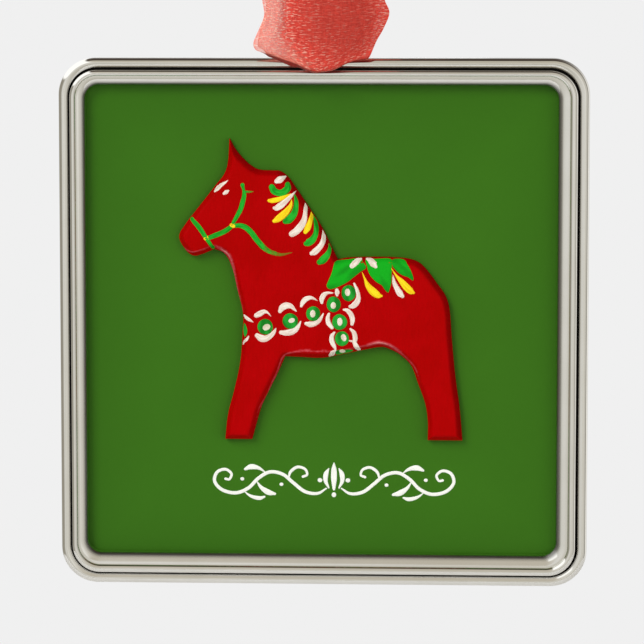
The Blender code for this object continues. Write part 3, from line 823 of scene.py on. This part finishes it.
# Centre and radii, then the cream centre's, and its tilt in degrees
ROUNDELS = (
    ((-8.3, -0.45), (1.15, 1.15), (-8.1, -0.5), (0.6, 0.45), 25),
    ((-4.7, 0.4), (1.15, 1.15), (-4.5, 0.5), (0.5, 0.35), 20),
    ((-1.4, 1.5), (1.05, 1.1), (-1.45, 1.5), (0.4, 0.55), 0),
    ((1.55, 2.85), (1.05, 1.15), (1.5, 2.7), (0.4, 0.5), 0),
    ((3.7, 4.5), (1.05, 1.2), (3.55, 4.6), (0.4, 0.55), 0),
    ((2.4, 0.3), (1.1, 1.15), (2.45, 0.35), (0.4, 0.6), 0),
    ((2.75, -2.1), (1.05, 1.1), (3, -1.95), (0.4, 0.55), 20),
)
GIRTH_END_CENTRE = ((2.8, -3.95), (0.45, 0.28))
# A scroll of leaves and curls under the horse: its right half, from its middle. The left half mirrors it
SCROLL_MIDDLE = (1.5, -23.2)
SCROLL = (
    ((1.1, -1.0, 0.12), (2.4, -1.75, 0.22), (4.2, -1.5, 0.26), (5.8, -0.3, 0.26), (7.4, 1.0, 0.26),
     (9.3, 1.35, 0.26), (11.0, 0.4, 0.26), (12.4, -1.0, 0.26), (14.2, -1.75, 0.26), (16.2, -1.35, 0.26),
     (17.35, -0.1, 0.25), (17.0, 1.25, 0.24), (15.8, 1.7, 0.22), (14.9, 1.05, 0.20), (15.2, 0.25, 0.18),
     (15.75, 0.3, 0.2)),
    ((6.6, 0.35, 0.1), (6.3, 1.4, 0.22), (5.3, 2.1, 0.22), (4.2, 1.8, 0.2), (3.9, 1.0, 0.18),
     (4.5, 0.7, 0.2)),
    ((9.9, 1.25, 0.05), (10.9, 1.9, 0.25), (12.0, 2.1, 0.4), (12.9, 1.75, 0.2)),
    ((11.3, 0.1, 0.05), (10.6, -0.9, 0.26), (9.6, -1.6, 0.42), (8.6, -1.85, 0.2)),
    ((13.1, -1.5, 0.05), (12.1, -2.2, 0.22), (10.9, -2.5, 0.3), (10.1, -2.3, 0.15)),
    ((2.0, 0.2, 0.32), (2.05, 0.2, 0.32)),
    ((7.6, -0.45, 0.26), (7.65, -0.45, 0.26)),
    ((13.3, 0.3, 0.26), (13.35, 0.3, 0.26)),
    ((0.75, -0.9, 0.12), (1.2, 0.1, 0.3), (1.15, 1.1, 0.36), (0.75, 1.9, 0.1)),
)
SCROLL_MIDDLE_STROKES = (
    ((0.0, -1.1, 0.2), (0.0, 0.4, 0.42), (0.0, 1.7, 0.4), (0.0, 2.7, 0.1)),
    ((0.0, -1.9, 0.34), (0.0, -1.95, 0.34)),
)

# How much the strokes spread under the brush, and points across one
STROKE_SPREAD = 1.1
STROKE_POINTS = 9
CAP_ANGLES = np.radians([8, 30, 52, 72])
# A patch's rings, from its edge in: how far out, how high and how loaded with paint
PATCH_RINGS = ((1.0, -0.4, 0.5), (0.95, 0.55, 0.8), (0.86, 0.9, 1), (0.72, 1.0, 1), (0.54, 1.0, 1),
               (0.34, 0.95, 1), (0.14, 0.9, 1))


class Paint:
    """Gathers raised strokes and patches of one colour, to become one piece."""

    def __init__(self, ground, spread=1.0):
        self.ground, self.spread = ground, spread
        self.places, self.faces, self.load, self.streak = [], [], [], []

    def keep(self, places, faces, load, streak):
        """Adds a mesh, with how much paint is at each point, and the brush's streaks."""
        start = sum(len(p) for p in self.places)
        self.places.append(places)
        self.faces += [tuple(start + i for i in face) for face in faces]
        self.load.append(load)
        self.streak.append(streak)

    def stroke(self, stations, rise=0.075, fade=False):
        """A brush stroke: a low rounded ridge along a curve, with round ends and a closed underside."""
        path = catmull(stations, 7)
        path[:, 2] = np.maximum(path[:, 2] * self.spread, 0.04)
        along = np.gradient(path[:, :2], axis=0)
        along /= np.linalg.norm(along, axis=1)[:, None] + 1e-12
        caps = []
        for end, way in ((0, -1), (-1, 1)):
            half = path[end, 2]
            out = path[end, :2] + way * along[end] * (half * np.cos(CAP_ANGLES))[:, None]
            caps.append(np.column_stack([out, half * np.sin(CAP_ANGLES)]))
        cap = len(CAP_ANGLES)
        ways = np.concatenate([np.repeat(along[:1], cap, 0), along, np.repeat(along[-1:], cap, 0)])
        path = np.concatenate([caps[0], path, caps[1][::-1]])
        rows, points, middle = len(path), STROKE_POINTS, STROKE_POINTS // 2
        side = np.column_stack([-ways[:, 1], ways[:, 0]])
        spread = np.linspace(-1, 1, points)
        seed = float(path[0, 0] * 3.1 + path[0, 1])
        flat = path[:, None, :2] + side[:, None] * (path[:, 2:, None] * spread[:, None])
        top = self.ground(flat.reshape(-1, 2)).reshape(rows, points, 3)
        dome = (1 - np.abs(spread) ** 3) ** 0.6
        streak = np.array([[0.5 + 0.9 * noise.noise(Vector((u * 2.6, i * 0.09, seed))) for u in spread]
                           for i in range(rows)])
        lift = rise * np.minimum(1, path[:, 2] / 0.28)[:, None] * dome * (0.8 + 0.35 * streak)
        top[:, :, 2] += np.where(dome > 0, lift, -0.03)
        under = top[:, middle:middle + 1].copy()
        under[:, :, 2] -= lift[:, middle:middle + 1] + 0.06
        ring = np.concatenate([top, under], axis=1)
        count = points + 1
        faces = grid_faces(rows, count, close_columns=True)
        faces += [tuple(range(count))[::-1], tuple(range((rows - 1) * count, rows * count))]
        load = np.clip(0.25 + path[:, 2] / 0.3, 0, 1)
        if fade:
            load = np.linspace(0.75, 0.05, rows)
        load = np.repeat(load[:, None], count, 1) * np.concatenate([0.88 + 0.12 * dome, [1]])
        streak = np.concatenate([streak, streak[:, middle:middle + 1]], axis=1)
        self.keep(ring.reshape(-1, 3), faces, load.ravel(), streak.ravel())

    def patch(self, outline, rise=0.08):
        """A raised area inside a smooth outline, with a closed underside."""
        closed = np.array([*outline, *outline[:3]], float)
        edge = catmull(closed, 4)[4:4 * (len(outline) + 1)]
        middle = edge.mean(0)
        shares, heights, loads = zip(*PATCH_RINGS)
        flat = np.concatenate([middle + (edge - middle) * share for share in shares])
        top = self.ground(flat)
        dome = np.repeat(heights, len(edge))
        # Streaks follow the patch's longer way
        longer = np.linalg.svd(edge - middle, full_matrices=False)[2]
        streak = np.array([0.5 + 0.9 * noise.noise(Vector((a * 0.3, b * 1.5, middle[0])))
                           for a, b in (flat - middle) @ longer.T])
        top[:, 2] += rise * dome * (0.75 + 0.5 * streak)
        hub = self.ground([middle])
        under = hub.copy()
        hub[0, 2] += 0.9 * rise
        under[0, 2] -= 0.3
        count, rows = len(edge), len(shares)
        faces = grid_faces(rows, count, close_columns=True)
        last = (rows - 1) * count
        faces += [(last + i, last + (i + 1) % count, rows * count) for i in range(count)]
        faces += [((i + 1) % count, i, rows * count + 1) for i in range(count)]
        load = np.concatenate([np.repeat(loads, count), [1, 1]])
        streak = np.concatenate([streak, [0.6, 0.6]])
        self.keep(np.vstack([top, hub, under]), faces, load, streak)

    def disc(self, middle, radii, tilt=0.0, rise=0.08, seed=0.0):
        """A slightly uneven round dab."""
        points = []
        turn = math.radians(tilt)
        for a in np.linspace(0, 2 * math.pi, 12, endpoint=False):
            uneven = 1 + 0.05 * noise.noise(Vector((math.cos(a) * 1.5, math.sin(a) * 1.5, seed)))
            x, z = radii[0] * math.cos(a) * uneven, radii[1] * math.sin(a) * uneven
            points.append((middle[0] + x * math.cos(turn) - z * math.sin(turn),
                           middle[1] + x * math.sin(turn) + z * math.cos(turn)))
        self.patch(points, rise)

    def become(self, name, material):
        """Makes the piece."""
        places = on_picture(np.concatenate(self.places))
        values = {"load": np.concatenate(self.load), "streak": np.concatenate(self.streak)}
        add_piece(name, places, self.faces, material, "ornament", sharp=60, values=values)


def paint_group(name, strokes, ground, paints):
    """The strokes of one group, as one piece for each colour. Faded ones are green, and run dry."""
    by_colour = {}
    for colour, paths in strokes.items():
        faded = colour == "faded"
        paint = by_colour.setdefault("green" if faded else colour, Paint(ground, STROKE_SPREAD))
        for stations in paths:
            paint.stroke(stations, fade=faded)
    for colour, paint in by_colour.items():
        paint.become(f"{name}_{colour}", paints[colour])


def paint_horse(ground, paints):
    """Everything painted on the horse."""
    paint_group("bridle", BRIDLE, ground, paints)
    paint_group("eye", HORSE_EYE, ground, paints)
    paint_group("mane", MANE, ground, paints)
    leaves = Paint(ground)
    for outline in LEAVES:
        leaves.patch(outline)
    leaves.become("saddle_leaves", paints["leaf"])
    raised = lifted(ground, 0.07)
    paint_group("saddle", SADDLE_STROKES, raised, paints)
    paint_group("girth", GIRTH, ground, paints)
    discs, centres = Paint(ground), Paint(raised)
    for number, (middle, radii, inner, inner_radii, tilt) in enumerate(ROUNDELS):
        discs.disc(middle, radii, seed=number * 1.7)
        centres.disc(inner, inner_radii, tilt, rise=0.06, seed=number + 0.5)
    for outline in GIRTH_ENDS:
        discs.patch(outline)
    centres.disc(*GIRTH_END_CENTRE, 0, rise=0.06, seed=8.0)
    discs.become("girth_roundels", paints["dark_green"])
    centres.become("girth_roundel_centres", paints["cream"])


def lifted(ground, amount):
    """The ground a little higher, for paint on top of paint."""
    def higher(at):
        found = ground(at)
        found[:, 2] += amount
        return found
    return higher


def paint_scroll(paints):
    """The painted scroll on the green panel."""
    def panel(at):
        at = np.asarray(at, float)
        return np.column_stack([at, np.full(len(at), PANEL_TOP + CLEAR)])

    scroll = Paint(panel)
    middle = np.array([*SCROLL_MIDDLE, 0])
    for side in (1, -1):
        for stations in SCROLL:
            scroll.stroke(np.array(stations) * (side, 1, 1) + middle, rise=0.05)
    for stations in SCROLL_MIDDLE_STROKES:
        scroll.stroke(np.array(stations) + middle, rise=0.05)
    scroll.become("panel_scroll", paints["pure_white"])


# ---------------------------------------------------------------- the ribbon
RIBBON_WIDTH = 21.0
PLEATS = 3.5
# Where a control row's points lie, from its left edge to its right
LEG_SPREAD = (-1.0, -0.68, -0.35, 0.0, 0.35, 0.68, 1.0)
# How a tail fans out: its half-width, how far out, back and up from the knot, and its pleating
TAIL_ROWS = (
    (1.2, 0.6, 0.0, 0.4, 0.7), (1.9, 2.6, 0.2, 1.6, 0.9), (3.4, 5.4, 0.6, 3.6, 1.0),
    (6.0, 9.6, 1.2, 5.9, 0.7), (7.9, 13.2, 1.9, 6.4, 0.6), (8.6, 16.2, 2.6, 5.8, 0.55),
)
CUT_SLANT = 1.2
# The knot's two wraps: radii, tilt, half-height and where its pleats start
WRAPS = {"knot_wrap": ((4.0, 3.2), 0.42, 2.3, 0.0), "knot_cross": ((4.3, 3.5), -0.65, 1.7, 1.3)}
WRAP_TURNS = 1.08
WRAP_LENGTH = 24
KNOT_RISE = 3.4


def across(y, z, left, right, pleat, bow=0.0, lift=0.0, gather_and_shade=0.4):
    """A control row of (x, y, z, pleating, gathering and painted shade) points from the eye's centre, with a
    slight bow.
    """
    row = []
    for u, share in zip(LEG_SPREAD, np.broadcast_to(gather_and_shade, len(LEG_SPREAD))):
        x = (left + right) / 2 + u * (right - left) / 2
        row.append((x, y + bow * (1 - u * u), z + lift * (1 - u * u), pleat, share))
    return row


def drooping(xs, zs, ys, pleat, gather_and_shade=(0.0, 0.05, 0.5, 0.85, 0.95, 0.95, 0.6)):
    """A control row given point by point. One number for z or y holds for all seven."""
    zs, ys = (np.broadcast_to(v, len(xs)) for v in (zs, ys))
    return [(x, y, z, pleat, share) for x, z, y, share in zip(xs, zs, ys, gather_and_shade)]


def under_knot(way):
    """A leg's rows from the knot down, in front (-1) or behind (1)."""
    return [
        across(0.4 * way, 59.5, -1.6, 1.6, 0.8),
        across(0.9 * way, 56.8, -2.4, 2.4, 0.9),
        across(2.6 * way, 53.0, -4.6, 4.6, 1.0, 0.3 * way),
        across(5.6 * way, 47.0, -8.4, 8.4, 0.8, 0.5 * way, gather_and_shade=0.2),
        across(7.8 * way, 39.0, -10.0, 10.0, 0.5, 0.5 * way, gather_and_shade=0.1),
    ]


def band_rows():
    """From the knot down the front leg, through the fold and the eye, and up the back leg."""
    front = (-4.7, -5.5, -4.95, -5.7, -5.5, -4.7, -3.7)
    fold = (-4.9, -5.4, -5.3, -5.6, -5.5, -4.8, -4.0)
    back = (-3.9, -4.1, -4.0, -4.0, -3.8, -3.2, -2.6)
    sheer_left = (0.0, 0.05, 0.5, 0.8, 0.8, 0.7, 0.5)
    return np.array([
        *under_knot(-1),
        across(-8.3, 29.0, -10.2, 10.2, 0.35, -0.4, gather_and_shade=0.1),
        across(-7.6, 19.0, -10.0, 10.2, 0.35, -0.3, gather_and_shade=0.15),
        across(-6.3, 11.0, -9.3, 9.8, 0.3, -0.2, gather_and_shade=0.3),
        # the front leg as it comes down to the fold
        drooping((-8.7, -6.7, -4.7, -1.6, 2.0, 5.8, 9.3), 7.0,
                 (-5.1, -5.6, -5.2, -5.7, -5.5, -5.2, -4.6), 0.22),
        drooping((-8.6, -6.6, -4.7, -1.6, 2.0, 5.6, 8.8), 4.4, front, 0.12),
        drooping((-8.3, -6.5, -4.7, -1.6, 2.2, 6.0, 9.5), (2.0, 2.0, 1.9, 1.9, 1.9, 2.1, 2.4), front, 0.07),
        drooping((-9.1, -7.0, -4.8, -1.6, 2.1, 5.6, 8.7), (-0.1, -0.2, -0.3, -0.4, -0.3, -0.1, 0.2),
                 front, 0.05),
        drooping((-9.8, -7.4, -4.9, -1.6, 1.9, 5.0, 7.8), (-1.8, -2.0, -2.2, -2.4, -2.2, -1.8, -1.4),
                 front, 0.04, (0.0, 0.05, 0.3, 0.7, 0.9, 0.9, 0.6)),
        drooping((-9.6, -7.1, -4.6, -1.5, 1.6, 4.5, 7.3), (-2.8, -3.2, -3.8, -4.3, -4.0, -3.2, -2.5),
                 front, 0.04, (0.0, 0.05, 0.15, 0.5, 0.8, 0.8, 0.6)),
        # the fold; its hidden turn, at 1.7 to 2, is painted dark as deep shade
        drooping((-8.8, -6.5, -4.0, -1.3, 1.2, 4.0, 6.9), (-3.2, -3.8, -4.7, -5.6, -5.5, -4.4, -3.5),
                 fold, 0.04, (0.1, 0.15, 0.2, 0.45, 0.6, 0.7, 0.7)),
        drooping((-8.2, -5.9, -3.4, -1.2, 1.1, 3.8, 6.5), (-3.5, -4.2, -5.1, -6.0, -5.9, -4.7, -4.1),
                 (-4.7, -4.9, -4.9, -5.0, -5.0, -4.6, -4.1), 0.05, (1.7, 1.7, 1.6, 1.2, 1.0, 1.3, 1.6)),
        drooping((-7.6, -5.3, -3.1, -1.0, 1.2, 3.6, 6.0), (-4.0, -4.8, -5.6, -6.0, -5.7, -4.6, -3.9),
                 (-4.2, -4.3, -4.3, -4.4, -4.4, -4.2, -4.0), 0.1, (2.0,) * 7),
        drooping((-8.3, -6.0, -3.6, -0.8, 1.4, 3.9, 6.4), (-3.1, -3.7, -4.4, -4.9, -4.7, -3.7, -2.9),
                 -4.1, 0.15, (0.3, 0.4, 0.7, 1.1, 1.3, 1.4, 1.4)),
        # up behind it
        drooping((-9.2, -6.8, -4.3, -1.3, 1.6, 4.4, 6.8), (-2.3, -2.6, -3.0, -3.3, -3.0, -2.4, -1.9),
                 back, 0.2, sheer_left),
        drooping((-8.9, -6.6, -4.3, -1.2, 2.0, 4.8, 7.2), -0.2, back, 0.3, sheer_left),
        drooping((-8.0, -6.0, -4.0, -1.0, 2.2, 5.2, 7.8), 3.0, back, 0.35, sheer_left),
        drooping((-8.2, -6.0, -4.0, -1.0, 2.2, 5.2, 7.9), 5.2, back, 0.35, sheer_left),
        across(-2.8, 6.6, -7.0, 6.8, 0.4, gather_and_shade=sheer_left),
        across(-2.3, 6.2, -4.8, 4.9, 0.5, gather_and_shade=0.6),
        # down into the eye, through it and out behind
        across(-2.1, 4.4, -2.8, 3.2, 0.6, gather_and_shade=0.8),
        across(-1.9, 2.4, -2.1, 2.3, 0.65, gather_and_shade=0.8),
        across(-1.4, 0.7, -1.8, 1.8, 0.6, gather_and_shade=0.8),
        across(0.0, -0.3, -1.7, 1.7, 0.7, 0.0, 1.0, gather_and_shade=0.8),
        across(1.4, 0.5, -2.0, 2.2, 0.6, gather_and_shade=0.8),
        across(2.2, 2.4, -3.8, 4.4, 0.6, gather_and_shade=0.7),
        # the back leg
        across(2.9, 4.8, -6.8, 7.6, 0.55, gather_and_shade=sheer_left),
        across(3.8, 8.0, -8.2, 8.6, 0.45, gather_and_shade=sheer_left),
        across(5.3, 13.0, -8.8, 9.3, 0.4, 0.2, gather_and_shade=0.3),
        across(7.2, 21.0, -9.8, 10.0, 0.35, 0.3, gather_and_shade=0.15),
        across(8.2, 30.0, -10.2, 10.2, 0.35, 0.4, gather_and_shade=0.1),
        *under_knot(1)[::-1],
    ])


def woven(rows, row_steps, column_steps, waves, phase):
    """A fine sheet through control rows, pleated where the ribbon is drawn in: its grid of points, their map,
    their gathering and painted shade, and its length."""
    fine = catmull(rows, row_steps)
    fine = np.swapaxes(catmull(np.swapaxes(fine, 0, 1), column_steps), 0, 1)
    points, pleating, gather_and_shade = fine[..., :3], fine[..., 3], np.clip(fine[..., 4], 0, 2)
    width = np.linalg.norm(np.diff(points, axis=1), axis=2).sum(1)
    drawn_in = np.maximum(RIBBON_WIDTH / width, 1.0)
    steep = math.pi / 2 * np.sqrt(drawn_in ** 2 - 1)
    depth = steep * width / (2 * math.pi * waves)
    u = np.linspace(0, 1, points.shape[1])
    normal = np.cross(np.gradient(points, axis=1), np.gradient(points, axis=0))
    normal /= np.linalg.norm(normal, axis=2)[..., None] + 1e-12
    wave = np.sin(2 * math.pi * waves * u + phase)
    wave = wave + 0.25 * np.sin(2 * math.pi * (waves * 1.9) * u + 2.1 * phase)
    points = points + normal * (depth[:, None] * pleating * wave)[..., None]
    along = lengths_along(fine[:, points.shape[1] // 2, :3])
    uvs = np.stack(np.broadcast_arrays(u * RIBBON_WIDTH, along[:, None]), axis=2)
    return points, uvs.reshape(-1, 2), gather_and_shade.ravel(), along[-1]


def make_band(organza):
    """The ribbon below the knot, in one piece, on no body of its own."""
    points, uvs, gather_and_shade, length = woven(band_rows(), 8, 16, PLEATS, 0.6)
    faces = grid_faces(*points.shape[:2])
    band = add_piece("ribbon_band", from_eye(points), faces, organza, None,
                     ["ribbon_loop", "ribbon_gather"], sharp=0, values={"gather_and_shade": gather_and_shade}, uvs=uvs)
    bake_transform(band)
    return band, length


def make_knot(organza):
    """The overhand knot: two crossing wraps of the ribbon, pleated along themselves. And its middle."""
    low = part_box("ribbon_knot")[0]
    middle = Vector((0, 0, low.z / MM - EYE.z / MM + KNOT_RISE))
    steps, columns = 90, 40
    pieces = []
    for name, (radii, tilt, half_height, phase) in WRAPS.items():
        points = np.zeros((steps, columns, 3))
        lean = Vector((math.sin(tilt), 0, math.cos(tilt)))
        side = Vector((math.cos(tilt), 0, -math.sin(tilt)))
        for i, a in enumerate(np.linspace(0, 2 * math.pi * WRAP_TURNS, steps)):
            for j, v in enumerate(np.linspace(-1, 1, columns)):
                ridge = 0.3 * math.cos(4.5 * math.pi * v + 0.7 * math.sin(a + phase))
                swell = math.sqrt(1 - 0.5 * v * v) + 0.03 * i / steps
                reach = side * (math.cos(a) * (radii[0] * swell + ridge))
                reach += Vector((0, 1, 0)) * (math.sin(a) * (radii[1] * swell + ridge))
                points[i, j] = middle + reach + lean * (half_height * v)
        u = np.linspace(0.2, 0.8, columns)[None] * RIBBON_WIDTH
        uvs = np.stack(np.broadcast_arrays(u, np.linspace(0, WRAP_LENGTH, steps)[:, None]), axis=2)
        pieces.append(add_piece(name, from_eye(points), grid_faces(steps, columns), organza, "ribbon",
                                sharp=0, values={"gather_and_shade": np.full(steps * columns, 0.6)},
                                uvs=uvs.reshape(-1, 2)))
    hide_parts("ribbon_knot")
    return pieces, middle


def make_tails(organza, knot):
    """Two cut ends, fanned out from the knot."""
    for side, name in ((-1, "left_tail"), (1, "right_tail")):
        rows = []
        lean = Vector((-0.35 * side, 0, 1)).normalized()
        for half, x, y, z, pleat in TAIL_ROWS:
            centre = knot + Vector((side * x, -side * y, z))
            row = []
            for u in LEG_SPREAD:
                bow = Vector((0, -side * 0.9 * (1 - u * u) * half / 9, 0))
                row.append((*(centre + lean * (half * u) + bow), pleat, 0.7 - half / 15))
            rows.append(row)
        points, uvs, gather_and_shade, length = woven(np.array(rows), 10, 16, 2.5, 0.9 + side)
        # The cut end slants, so the rows reach out further at the top
        count, width = points.shape[:2]
        slant = np.linspace(-1, 1, width)[None, :] * np.linspace(0, 1, count)[:, None] ** 2
        points[..., 0] += side * CUT_SLANT * slant
        tail = add_piece(name, from_eye(points), grid_faces(count, width), organza, "ribbon",
                         sharp=0, values={"gather_and_shade": gather_and_shade}, uvs=uvs)


# ---------------------------------------------------------------- stage
VIEW_DISTANCE = 0.5
VIEW_ELEVATION = math.radians(6)
VIEW_AZIMUTH = math.radians(3)
# The picture is so many frames wide, and aims a little off the frame's centre
VIEW_WIDTH = 1.214 * 2 * HALF * MM
AIM_OFF_CENTRE = (-0.1, 0.35)
BACKDROP = 0.871
FLOOR_RADIUS = 0.35
FLOOR_DROP = 0.12


def make_camera():
    """A camera in front of the frame, slightly above it and to the right."""
    data = bpy.data.cameras.new("camera")
    camera = add_object("camera", data)
    aim = Vector(on_picture([(*AIM_OFF_CENTRE, BEZEL_TOP)])[0])
    level = math.cos(VIEW_ELEVATION)
    back = Vector((math.sin(VIEW_AZIMUTH) * level, -math.cos(VIEW_AZIMUTH) * level, math.sin(VIEW_ELEVATION)))
    camera.location = aim + back * VIEW_DISTANCE
    camera.rotation_mode = "QUATERNION"
    camera.rotation_quaternion = (-back).to_track_quat("-Z", "Y")
    data.lens = data.sensor_width * VIEW_DISTANCE / VIEW_WIDTH
    bpy.context.scene.camera = camera


def add_light(name, place, size, watts):
    """A soft square light, aimed at the frame's centre. Its place, from there, and its size are in metres."""
    data = bpy.data.lights.new(name, "AREA")
    data.size = size
    data.energy = watts
    light = add_object(name, data)
    light.location = CENTRE + Vector(place)
    light.rotation_mode = "QUATERNION"
    light.rotation_quaternion = (-Vector(place)).to_track_quat("-Z", "Y")
    # The silver is to reflect the tent, not the lamps
    light.visible_glossy = False


# The tent's colours from the camera's side, at 0, round to behind the object, at 1
TENT_ABOVE = ((0.0, (0.54, 0.50, 0.42)), (0.17, (0.56, 0.52, 0.43)), (0.22, (0.35, 0.32, 0.26)),
              (0.27, (0.06, 0.045, 0.035)), (0.90, (0.09, 0.07, 0.06)), (1.0, (0.5, 0.5, 0.48)))
TENT_BELOW = ((0.0, (0.62, 0.60, 0.53)), (0.05, (0.50, 0.48, 0.42)), (0.55, (0.48, 0.47, 0.42)),
              (1.0, (0.6, 0.59, 0.57)))
TENT_LEFT = ((0.0, (0.76, 0.75, 0.71)), (0.10, (0.66, 0.65, 0.60)), (0.20, (0.32, 0.30, 0.25)),
             (0.80, (0.30, 0.28, 0.23)), (1.0, (0.7, 0.7, 0.68)))
TENT_RIGHT = ((0.0, (0.86, 0.85, 0.80)), (0.04, (0.66, 0.64, 0.58)), (0.12, (0.58, 0.56, 0.50)),
              (0.30, (0.55, 0.53, 0.48)), (0.36, (0.12, 0.11, 0.09)), (0.42, (0.12, 0.11, 0.09)),
              (0.50, (0.95, 0.93, 0.87)), (0.75, (0.90, 0.88, 0.84)), (1.0, (0.6, 0.6, 0.58)))


def make_world():
    """A flat pale backdrop for the camera, and a tent of pale cards and dark gaps for the silver."""
    world = bpy.data.worlds.new("studio")
    bpy.context.scene.world = world
    world.use_nodes = True
    world.node_tree.nodes.clear()
    nodes = Nodes(world.node_tree)
    direction = nodes.add("ShaderNodeTexCoord").outputs["Generated"]
    x, y, z = nodes.add("ShaderNodeSeparateXYZ", {0: direction}).outputs
    behind = nodes.range(y, -1.0, 1.0, smooth=False)
    squares = nodes.sum("ADD", nodes.sum("MULTIPLY", x, x), nodes.sum("MULTIPLY", z, z))
    squares = nodes.sum("MAXIMUM", squares, 1e-6)
    tent = (0.0, 0.0, 0.0)
    sides = ((z, 1, TENT_ABOVE), (z, -1, TENT_BELOW), (x, -1, TENT_LEFT), (x, 1, TENT_RIGHT))
    for part, way, stops in sides:
        reach = nodes.sum("MAXIMUM", nodes.sum("MULTIPLY", part, way), 0.0)
        share = nodes.sum("DIVIDE", nodes.sum("MULTIPLY", reach, reach), squares)
        tent = nodes.mix(share, tent, nodes.ramp(behind, stops), "ADD")
    # A narrow bright card, up to the left
    up_left = nodes.sum("MAXIMUM", nodes.sum("SUBTRACT", z, x), 1e-3)
    off_line = nodes.sum("DIVIDE", nodes.sum("ABSOLUTE", nodes.sum("ADD", z, x)), up_left)
    narrow = nodes.range(off_line, 0.36, 0.48, 1.0, 0.0)
    card = nodes.sum("MULTIPLY", narrow, nodes.range(behind, 0.02, 0.05))
    tent = nodes.mix(card, tent, (1.2, 1.2, 1.17))
    lit = nodes.add("ShaderNodeBackground", {0: tent})
    seen = nodes.add("ShaderNodeBackground", {0: (BACKDROP, BACKDROP, BACKDROP, 1)})
    rays = nodes.add("ShaderNodeLightPath").outputs["Is Camera Ray"]
    choose = nodes.add("ShaderNodeMixShader", {0: rays, 1: lit.outputs[0], 2: seen.outputs[0]})
    nodes.add("ShaderNodeOutputWorld", {0: choose.outputs[0]})


def make_floor():
    """A round pale floor, below the hanging ornament."""
    made = Finish("floor", Roughness=0.8)
    speckle = made.noise(made.place(), 60.0, 3.0)
    made.set("Base Color", made.mix(made.range(speckle, 0.3, 0.7), (0.80, 0.80, 0.79), (0.84, 0.84, 0.83)))
    steps, radius = 96, FLOOR_RADIUS
    places = [(CENTRE.x + radius * math.cos(a), CENTRE.y + radius * math.sin(a), tray_low.z - FLOOR_DROP)
              for a in np.linspace(0, 2 * math.pi, steps, endpoint=False)]
    mesh = bpy.data.meshes.new("floor")
    mesh.from_pydata(places, [], [tuple(range(steps))])
    mesh.materials.append(made.material)
    add_object("floor", mesh)


def main():
    """Makes every material, piece and light, in this order."""
    silver = silver_plate()
    paints = {key: brushed_paint(name, *colours) for key, (name, *colours) in PAINTS.items()}
    make_tray(silver)
    make_bezel(silver)
    make_eye(silver)
    frame["nodes"]["picture_panel"].data.materials[0] = green_lacquer()
    frame["nodes"]["backing_pad"].data.materials[0] = grey_card()
    ground = make_horse(red_wood())
    paint_horse(ground, paints)
    paint_scroll(paints)

    organza = red_organza()
    band, length = make_band(organza)
    wraps, knot = make_knot(organza)
    make_tails(organza, knot)

    make_world()
    make_camera()
    add_light("key", (-0.7, -1.0, 0.8), 0.6, 10.0)
    add_light("fill", (0.9, -0.9, 0.2), 0.8, 4.0)
    make_floor()
    bpy.context.scene.view_settings.view_transform = "Standard"


main()
